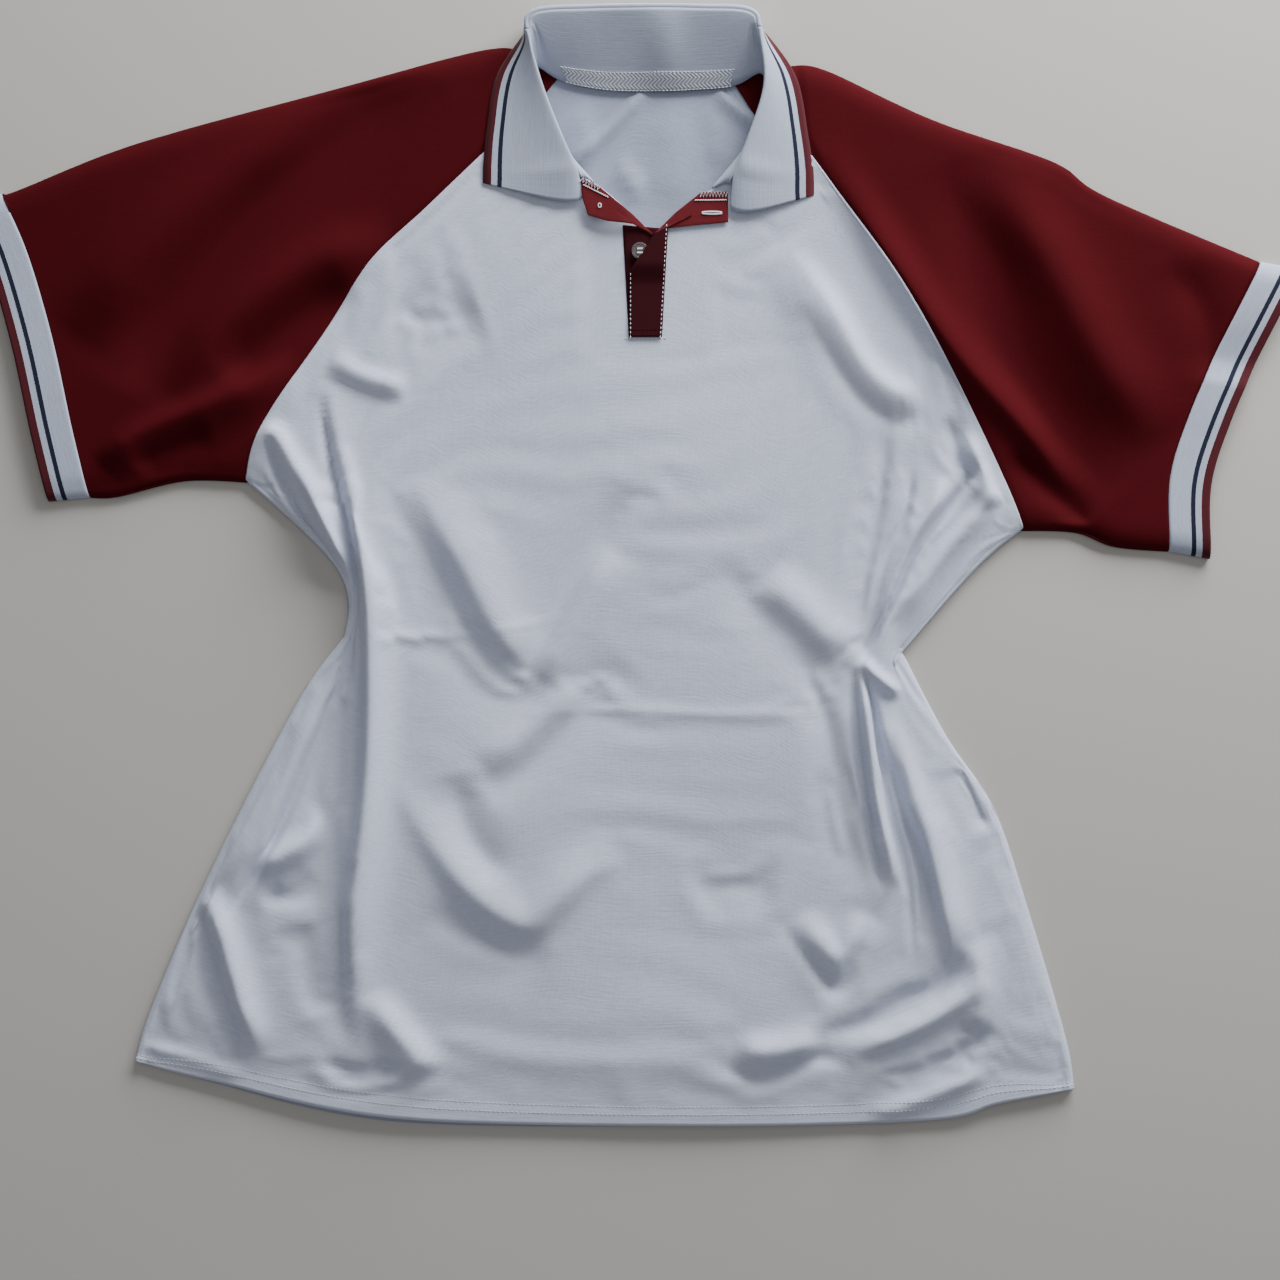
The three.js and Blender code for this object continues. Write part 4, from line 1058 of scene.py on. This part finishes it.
def knitGroup():
    # plain knit: columns of loops, courses across them, and the uneven yarn that shows as faint bars
    tree, entry, result = newGroup(
        "knit",
        [("Vector", vector, (0, 0, 0)), ("Colour", colour, (1, 1, 1, 1)), ("Wale", number, 0.0009),
         ("Course", number, 0.0007), ("Slub", number, 0.5), ("Mottle", number, 0.5), ("Loops", number, 0.5)],
        [("Colour", colour), ("Height", number), ("Roughness", number)])
    split = tree.nodes.new("ShaderNodeSeparateXYZ")
    tree.links.new(entry.outputs["Vector"], split.inputs[0])
    u, v = split.outputs[0], split.outputs[1]
    phaseU = maths(tree, "MULTIPLY", maths(tree, "DIVIDE", u, entry.outputs["Wale"]), 2 * math.pi)
    phaseV = maths(tree, "MULTIPLY", maths(tree, "DIVIDE", v, entry.outputs["Course"]), 2 * math.pi)
    columns = maths(tree, "COSINE", phaseU)
    tilted = maths(tree, "ADD", phaseV, maths(tree, "MULTIPLY", maths(tree, "ABSOLUTE", columns), 1.6))
    loops = maths(tree, "MULTIPLY", maths(tree, "ADD", columns, maths(tree, "SINE", tilted)), 0.25)
    bars = noiseAt(tree, scaledVector(tree, entry.outputs["Vector"], (22, 900, 1)), 1.0, 3.0, 0.6)
    fine = noiseAt(tree, scaledVector(tree, entry.outputs["Vector"], (160, 620, 1)), 1.0, 2.0, 0.5)
    broad = noiseAt(tree, entry.outputs["Vector"], 26.0, 3.0, 0.55)
    slub = maths(tree, "MULTIPLY", maths(tree, "ADD", maths(tree, "SUBTRACT", bars, 0.5),
                                         maths(tree, "SUBTRACT", fine, 0.5)), entry.outputs["Slub"])
    mottle = maths(tree, "MULTIPLY", maths(tree, "SUBTRACT", broad, 0.5), entry.outputs["Mottle"])
    loopPart = maths(tree, "MULTIPLY", loops, entry.outputs["Loops"])
    dim = maths(tree, "ADD", maths(tree, "MULTIPLY", mottle, 0.22), maths(tree, "MULTIPLY", loopPart, 0.10))
    tone = maths(tree, "ADD", maths(tree, "MULTIPLY", slub, 0.24), dim)
    bright = tree.nodes.new("ShaderNodeHueSaturation")
    tree.links.new(entry.outputs["Colour"], bright.inputs["Color"])
    tree.links.new(maths(tree, "ADD", tone, 1.0), bright.inputs["Value"])
    tree.links.new(bright.outputs[0], result.inputs["Colour"])
    height = maths(tree, "ADD", maths(tree, "MULTIPLY", loopPart, 1.0), maths(tree, "MULTIPLY", slub, 0.8))
    tree.links.new(height, result.inputs["Height"])
    tree.links.new(maths(tree, "ADD", 0.86, maths(tree, "MULTIPLY", tone, 0.4)), result.inputs["Roughness"])
    return tree


def stripesGroup():
    # three knitted-in stripes along an edge, with a slightly ragged change of yarn
    tree, entry, result = newGroup(
        "edgeStripes",
        [("Distance", number, 0.0), ("Along", number, 0.0), ("Ground", colour, (1, 1, 1, 1)),
         ("Edge Colour", colour, (0.1, 0, 0, 1)), ("Inner Colour", colour, (0, 0, 0.05, 1)),
         ("Edge Width", number, 0.0055), ("Gap", number, 0.004), ("Inner Width", number, 0.003)],
        [("Colour", colour)])
    ragged = tree.nodes.new("ShaderNodeCombineXYZ")
    tree.links.new(maths(tree, "MULTIPLY", entry.outputs["Along"], 900.0), ragged.inputs[0])
    uneven = noiseAt(tree, ragged.outputs[0], 1.0, 1.0)
    wobble = maths(tree, "MULTIPLY", maths(tree, "SUBTRACT", uneven, 0.5), 0.0006)
    d = maths(tree, "ADD", entry.outputs["Distance"], wobble)
    first = maths(tree, "LESS_THAN", d, entry.outputs["Edge Width"])
    start = maths(tree, "ADD", entry.outputs["Edge Width"], entry.outputs["Gap"])
    end = maths(tree, "ADD", start, entry.outputs["Inner Width"])
    second = maths(tree, "MULTIPLY", maths(tree, "GREATER_THAN", d, start), maths(tree, "LESS_THAN", d, end))
    once = mixColours(tree, first, entry.outputs["Ground"], entry.outputs["Edge Colour"])
    tree.links.new(mixColours(tree, second, once, entry.outputs["Inner Colour"]), result.inputs["Colour"])
    return tree


def shade(hexColour):
    channels = [int(hexColour[i:i + 2], 16) / 255 for i in (1, 3, 5)]
    return tuple(c / 12.92 if c <= 0.04045 else ((c + 0.055) / 1.055) ** 2.4 for c in channels) + (1,)


knit, stripes = knitGroup(), stripesGroup()
finishes = {
    "whiteJersey": {"colour": "#c5cadb", "wale": 0.0008, "course": 0.00065, "slub": 1.0,
                    "mottle": 0.35, "loops": 0.5, "bump": 0.00016, "sheen": 0.12},
    # the back panel's jersey, darkened to paint in the shade that falls inside the neck
    "jerseyPaintedShade": {"colour": "#9ea4b6", "wale": 0.0008, "course": 0.00065, "slub": 1.0,
                      "mottle": 0.35, "loops": 0.5, "bump": 0.00016, "sheen": 0.1},
    "maroonJersey": {"colour": "#450b11", "wale": 0.0008, "course": 0.00065, "slub": 0.7,
                     "mottle": 0.5, "loops": 0.6, "bump": 0.00012, "sheen": 0.0, "gloss": 0.05},
    # rib yarn is cooler than the jersey, and its colour is darkened further to paint in the shade on the
    # collar stand and leaves
    "whiteRib": {"colour": "#a9afc0", "wale": 0.0011, "course": 0.0016, "slub": 0.9,
                 "mottle": 0.3, "loops": 0.3, "bump": 0.00014, "sheen": 0.12, "stripes": True},
    # the stand's rib has the same darkened colour: partly cooler yarn, partly painted shade
    "plainRib": {"colour": "#a9afc0", "wale": 0.0011, "course": 0.0016, "slub": 0.9,
                 "mottle": 0.3, "loops": 0.3, "bump": 0.00014, "sheen": 0.12},
    "maroonBand": {"colour": "#330a11", "wale": 0.0007, "course": 0.0006, "slub": 0.5,
                   "mottle": 0.5, "loops": 0.5, "bump": 0.0001, "sheen": 0.0, "gloss": 0.1},
    "bandReverse": {"colour": "#5e1118", "wale": 0.0007, "course": 0.0006, "slub": 0.8,
                    "mottle": 0.8, "loops": 0.7, "bump": 0.00014, "sheen": 0.06},
}
stripeColours = {"edge": "#470d16", "inner": "#15192e"}


def newMaterial(name):
    m = bpy.data.materials.new(name)
    m.use_nodes = True
    return m, m.node_tree, m.node_tree.nodes["Principled BSDF"]


def addBump(tree, shader, height, distance, strength=1.0):
    bump = tree.nodes.new("ShaderNodeBump")
    bump.inputs["Distance"].default_value = distance
    bump.inputs["Strength"].default_value = strength
    tree.links.new(height, bump.inputs["Height"])
    tree.links.new(bump.outputs[0], shader.inputs["Normal"])


def clothMaterial(name, finish):
    m, tree, shader = newMaterial(name)
    link = tree.links.new
    uv = tree.nodes.new("ShaderNodeUVMap")
    uv.uv_map = "flat"
    pattern = tree.nodes.new("ShaderNodeGroup")
    pattern.node_tree = knit
    link(uv.outputs[0], pattern.inputs["Vector"])
    for key in ("wale", "course", "slub", "mottle", "loops"):
        pattern.inputs[key.capitalize()].default_value = finish[key]
    ground = shade(finish["colour"])
    pattern.inputs["Colour"].default_value = ground
    if finish.get("stripes"):
        edge = tree.nodes.new("ShaderNodeGroup")
        edge.node_tree = stripes
        split = tree.nodes.new("ShaderNodeSeparateXYZ")
        link(uv.outputs[0], split.inputs[0])
        link(split.outputs[0], edge.inputs["Along"])
        link(split.outputs[1], edge.inputs["Distance"])
        edge.inputs["Ground"].default_value = ground
        edge.inputs["Edge Colour"].default_value = shade(stripeColours["edge"])
        edge.inputs["Inner Colour"].default_value = shade(stripeColours["inner"])
        link(edge.outputs[0], pattern.inputs["Colour"])
    link(pattern.outputs["Colour"], shader.inputs["Base Color"])
    link(pattern.outputs["Roughness"], shader.inputs["Roughness"])
    addBump(tree, shader, pattern.outputs["Height"], finish["bump"], 0.8)
    shader.inputs["Sheen Weight"].default_value = finish["sheen"]
    shader.inputs["Sheen Roughness"].default_value = 0.5
    shader.inputs["Specular IOR Level"].default_value = finish.get("gloss", 0.2)
    return m


cloths = {name: clothMaterial(name, finish) for name, finish in finishes.items()}


def threadMaterial(name, hexColour):
    m, tree, shader = newMaterial(name)
    place = tree.nodes.new("ShaderNodeTexCoord")
    ply = noiseAt(tree, scaledVector(tree, place.outputs["Object"], (2200, 2200, 2200)), 1.0, 2.0)
    hue = tree.nodes.new("ShaderNodeHueSaturation")
    hue.inputs["Color"].default_value = shade(hexColour)
    tree.links.new(maths(tree, "ADD", maths(tree, "MULTIPLY", ply, 0.3), 0.8), hue.inputs["Value"])
    tree.links.new(hue.outputs[0], shader.inputs["Base Color"])
    addBump(tree, shader, ply, 0.0001)
    shader.inputs["Roughness"].default_value = 0.6
    shader.inputs["Sheen Weight"].default_value = 0.2
    return m


twill = {"row": 0.0038, "yarn": 0.0026, "dark": "#8f94a2", "light": "#dcdfe7"}


def herringboneMaterial():
    # woven tape: slanting yarns that change hand from one row to the next
    m, tree, shader = newMaterial("herringboneTape")
    uv = tree.nodes.new("ShaderNodeUVMap")
    uv.uv_map = "flat"
    split = tree.nodes.new("ShaderNodeSeparateXYZ")
    tree.links.new(uv.outputs[0], split.inputs[0])
    zigzag = maths(tree, "PINGPONG", split.outputs[1], twill["row"])
    slanted = maths(tree, "ADD", maths(tree, "MULTIPLY", split.outputs[0], 2 * math.pi / twill["yarn"]),
                    maths(tree, "MULTIPLY", zigzag, 2 * math.pi / twill["yarn"]))
    yarn = maths(tree, "ADD", maths(tree, "MULTIPLY", maths(tree, "SINE", slanted), 0.5), 0.5)
    colourOut = mixColours(tree, yarn, shade(twill["dark"]), shade(twill["light"]))
    tree.links.new(colourOut, shader.inputs["Base Color"])
    addBump(tree, shader, yarn, 0.0003)
    shader.inputs["Roughness"].default_value = 0.8
    return m


def buttonMaterial():
    m, tree, shader = newMaterial("clearButton")
    place = tree.nodes.new("ShaderNodeTexCoord")
    cloud = noiseAt(tree, place.outputs["Object"], 220.0, 3.0)
    tree.links.new(mixColours(tree, cloud, shade("#8d7a7c"), shade("#b3a6a8")), shader.inputs["Base Color"])
    tree.links.new(maths(tree, "ADD", 0.12, maths(tree, "MULTIPLY", cloud, 0.15)), shader.inputs["Roughness"])
    shader.inputs["Transmission Weight"].default_value = 0.8
    shader.inputs["Coat Weight"].default_value = 0.4
    shader.inputs["IOR"].default_value = 1.49
    return m


whiteThread, paleThread = threadMaterial("whiteThread", "#e8e9ee"), threadMaterial("paleThread", "#c9ccd6")
herringbone, clearButton = herringboneMaterial(), buttonMaterial()


def dress(obj, material):
    obj.data.materials.clear()
    obj.data.materials.append(material)
    return obj


def outfit(obj, finish, slotName, *nodes):
    finishMesh(obj)
    dress(obj, cloths[finish])
    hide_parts(*nodes)


frontPanel, frontGrid, hemRow = makeFrontPanel()
outfit(frontPanel, "whiteJersey", "white_jersey", "front_panel", "front_hem")
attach(frontPanel, "shirt")
print("front panel done")

backPanel, backGrid = makeBackPanel()
# the back panel wears the darkened jersey: painted shade inside the neck
outfit(backPanel, "jerseyPaintedShade", "white_jersey", "back_panel", "back_hem")
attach(backPanel, "shirt")
print("back panel done")

foldLines = {"right": ((-263.2, 57.5), (-256.8, 293.6)), "left": ((267.9, 25.5), (216.0, 283.9))}
for name in ("right", "left"):
    obj, grid = makeSleeve(name)
    outfit(obj, "maroonJersey", "maroon_jersey", name + "_sleeve_shoulder", name + "_sleeve_arm")
    a, b = (np.array(p) for p in foldLines[name])
    along = (b - a) / np.hypot(*(b - a))
    outwards = np.array([-along[1], along[0]])
    if outwards[0] * sides[name]["sign"] < 0:
        outwards = -outwards
    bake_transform(obj)
    obj, grid = makeCuff(name)
    outfit(obj, "whiteRib", "white_rib", name + "_cuff")
    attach(obj, name + "_sleeve")
print("sleeves and cuffs done")

stand, standGrid = makeStand()
backLeaf, backLeafGrid = makeBackLeaf()
for obj, node, finish in ((stand, "collar_stand", "plainRib"), (backLeaf, "back_collar_leaf", "whiteRib")):
    outfit(obj, finish, "white_rib", node)
    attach(obj, "shirt")
for name in ("right", "left"):
    obj, grid = makeLeaf(name)
    outfit(obj, "whiteRib", "white_rib", name + "_collar_leaf")
    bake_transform(obj)
neckTape, tapeGrid = makeTape()
finishMesh(neckTape)
dress(neckTape, herringbone)
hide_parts("neck_tape")
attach(neckTape, "shirt")
print("collar done")

(underBand, underGrid), (overBand, overGrid) = makeBands()
rightFlap, rightFlat, rightArea = slopedPlate("rightFlap", flaps["right"], rightFlapHeight, placket["cloth"])
leftFlap, leftFlat, leftArea = slopedPlate("leftFlap", flaps["left"], leftFlapHeight, placket["cloth"])
for obj, node, finish, slotName in (
        (underBand, "placket_under_band", "maroonBand", "maroon_band"),
        (overBand, "placket_over_band", "maroonBand", "maroon_band"),
        (rightFlap, "right_placket_flap", "bandReverse", "band_reverse"),
        (leftFlap, "left_placket_flap", "bandReverse", "band_reverse")):
    outfit(obj, finish, slotName, node)
    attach(obj, "shirt")
print("placket done")

# stitch pitch, length, width and height, in metres
threads = {
    "hem": {"Pitch": 0.0029, "Length": 0.0022, "Width": 0.00055, "Height": 0.0004},
    "placket": {"Pitch": 0.0028, "Length": 0.0018, "Width": 0.0006, "Height": 0.0005},
    "tape": {"Pitch": 0.0024, "Length": 0.0021, "Width": 0.0006, "Height": 0.0005},
    "box": {"Pitch": 0.0022, "Length": 0.0018, "Width": 0.0005, "Height": 0.0004},
}
stitchRun, threadRun = stitchTree(), threadTree()
lift = up * 0.12
hemPaths = [frontGrid[hemRow + k, 2:-2] + lift for k in (-1, 1)]
hemStitches = sewn("hemStitches", stitchRun, hemPaths, paleThread, **threads["hem"])
inwards = np.array([1.1, 0, 0.5])
bandSide = [overGrid[:, -1] + inwards * [-1, 1, 1], overGrid[:36, 0] + inwards,
            np.array([overGrid[0, 0] + [-2.0, -0.7, -1.1], overGrid[0, -1] + [2.0, -0.7, -1.1]])]
placketStitches = sewn("placketStitches", stitchRun, bandSide, whiteThread, **threads["placket"])


def zigzag(start, end, height, steps, z):
    start, end = np.array(start, float) + layShift, np.array(end, float) + layShift
    aside = np.array([-(end - start)[1], (end - start)[0]]) / np.hypot(*(end - start)) * height / 2
    points = [start + (end - start) * i / steps + aside * (1 if i % 2 else -1) for i in range(steps + 1)]
    return np.array([(*p, z) for p in points])


def buttonholeLoop(centre, length, width, z):
    angle = np.linspace(0, 2 * np.pi, 33)
    x = np.clip(np.cos(angle) * length * 0.62, -length / 2, length / 2)
    points = np.stack([x, np.sin(angle) * width / 2], 1) + np.array(centre) + layShift
    return np.concatenate([points, np.full((33, 1), z)], 1)


flapTop = placket["top"] + 0.7
overlock = [
    zigzag((-31.5, 251), (-19.5, 245), 3.2, 13, flapTop + 4.0),
    zigzag((45.5, 242), (63, 242), 3.4, 17, flapTop + 0.4),
    zigzag((-30, 247.5), (-14, 239.5), 0.5, 22, flapTop + 3.85),
    zigzag((42, 238.2), (62.5, 238.4), 0.5, 26, flapTop + 0.25),
    buttonholeLoop((53, 230), 12.5, 2.0, flapTop + 0.25),
    buttonholeLoop((53, 230), 11.5, 1.3, flapTop + 0.3),
    buttonholeLoop((-19.5, 234.2), 1.8, 2.6, flapTop + 3.8),
]
overlockThread = sewn("overlockThread", threadRun, overlock, whiteThread, Radius=0.00033)
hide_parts("upper_buttonhole")
tapePaths = [tapeGrid[0] + lift * 4, tapeGrid[-1] + lift * 4]
tapeEdges = sewn("tapeEdges", stitchRun, tapePaths, whiteThread, **threads["tape"])
boxSeam = sewn("boxSeam", stitchRun, [overGrid[4] + lift], cloths["maroonBand"], **threads["box"])
for obj in (hemStitches, placketStitches, overlockThread, tapeEdges, boxSeam):
    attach(obj, "shirt")

for node in ("lower_button", "upper_button"):
    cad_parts[node].material_slots[0].material = clearButton
for node in ("lower_button_thread", "upper_button_thread"):
    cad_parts[node].material_slots[0].material = whiteThread
print("stitches and buttons done")


def floorMaterial():
    m, _, shader = newMaterial("paleFloor")
    shader.inputs["Base Color"].default_value = shade("#b9b5ae")
    shader.inputs["Roughness"].default_value = 0.9
    return m


floorMesh = bpy.data.meshes.new("floor")
floorHalf, floorTop = 8, -0.0002
floorCorners = [(x * floorHalf, y * floorHalf, floorTop) for x, y in ((-1, -1), (1, -1), (1, 1), (-1, 1))]
floorMesh.from_pydata(floorCorners, [], [(0, 1, 2, 3)])
floor = bpy.data.objects.new("floor", floorMesh)
bpy.context.collection.objects.link(floor)
floorMesh.materials.append(floorMaterial())

lamps = {
    "windowLight": {"at": (0.75, 1.5, 0.56), "size": (1.6, 0.8), "power": 84, "tint": (0.95, 0.98, 1.0)},
    "ceilingLight": {"at": (0.0, 0.1, 2.2), "size": (2.4, 2.4), "power": 10, "tint": (1.0, 0.98, 0.96)},
}
for name, lamp in lamps.items():
    data = bpy.data.lights.new(name, "AREA")
    data.shape = "RECTANGLE"
    data.size, data.size_y = lamp["size"]
    data.energy = lamp["power"]
    data.color = lamp["tint"]
    obj = bpy.data.objects.new(name, data)
    obj.location = lamp["at"]
    obj.rotation_euler = (Vector((0, -0.05, 0)) - obj.location).to_track_quat("-Z", "Y").to_euler()
    bpy.context.collection.objects.link(obj)
world = bpy.data.worlds.new("roomLight")
world.use_nodes = True
world.node_tree.nodes["Background"].inputs[0].default_value = (0.9, 0.93, 1.0, 1)
world.node_tree.nodes["Background"].inputs[1].default_value = 0.22
bpy.context.scene.world = world

cameraData = bpy.data.cameras.new("camera")
cameraData.sensor_width = 36
cameraData.lens = 64.9
camera = bpy.data.objects.new("camera", cameraData)
camera.location = (0.0058, -0.0459, 1.5)
bpy.context.collection.objects.link(camera)
bpy.context.scene.camera = camera
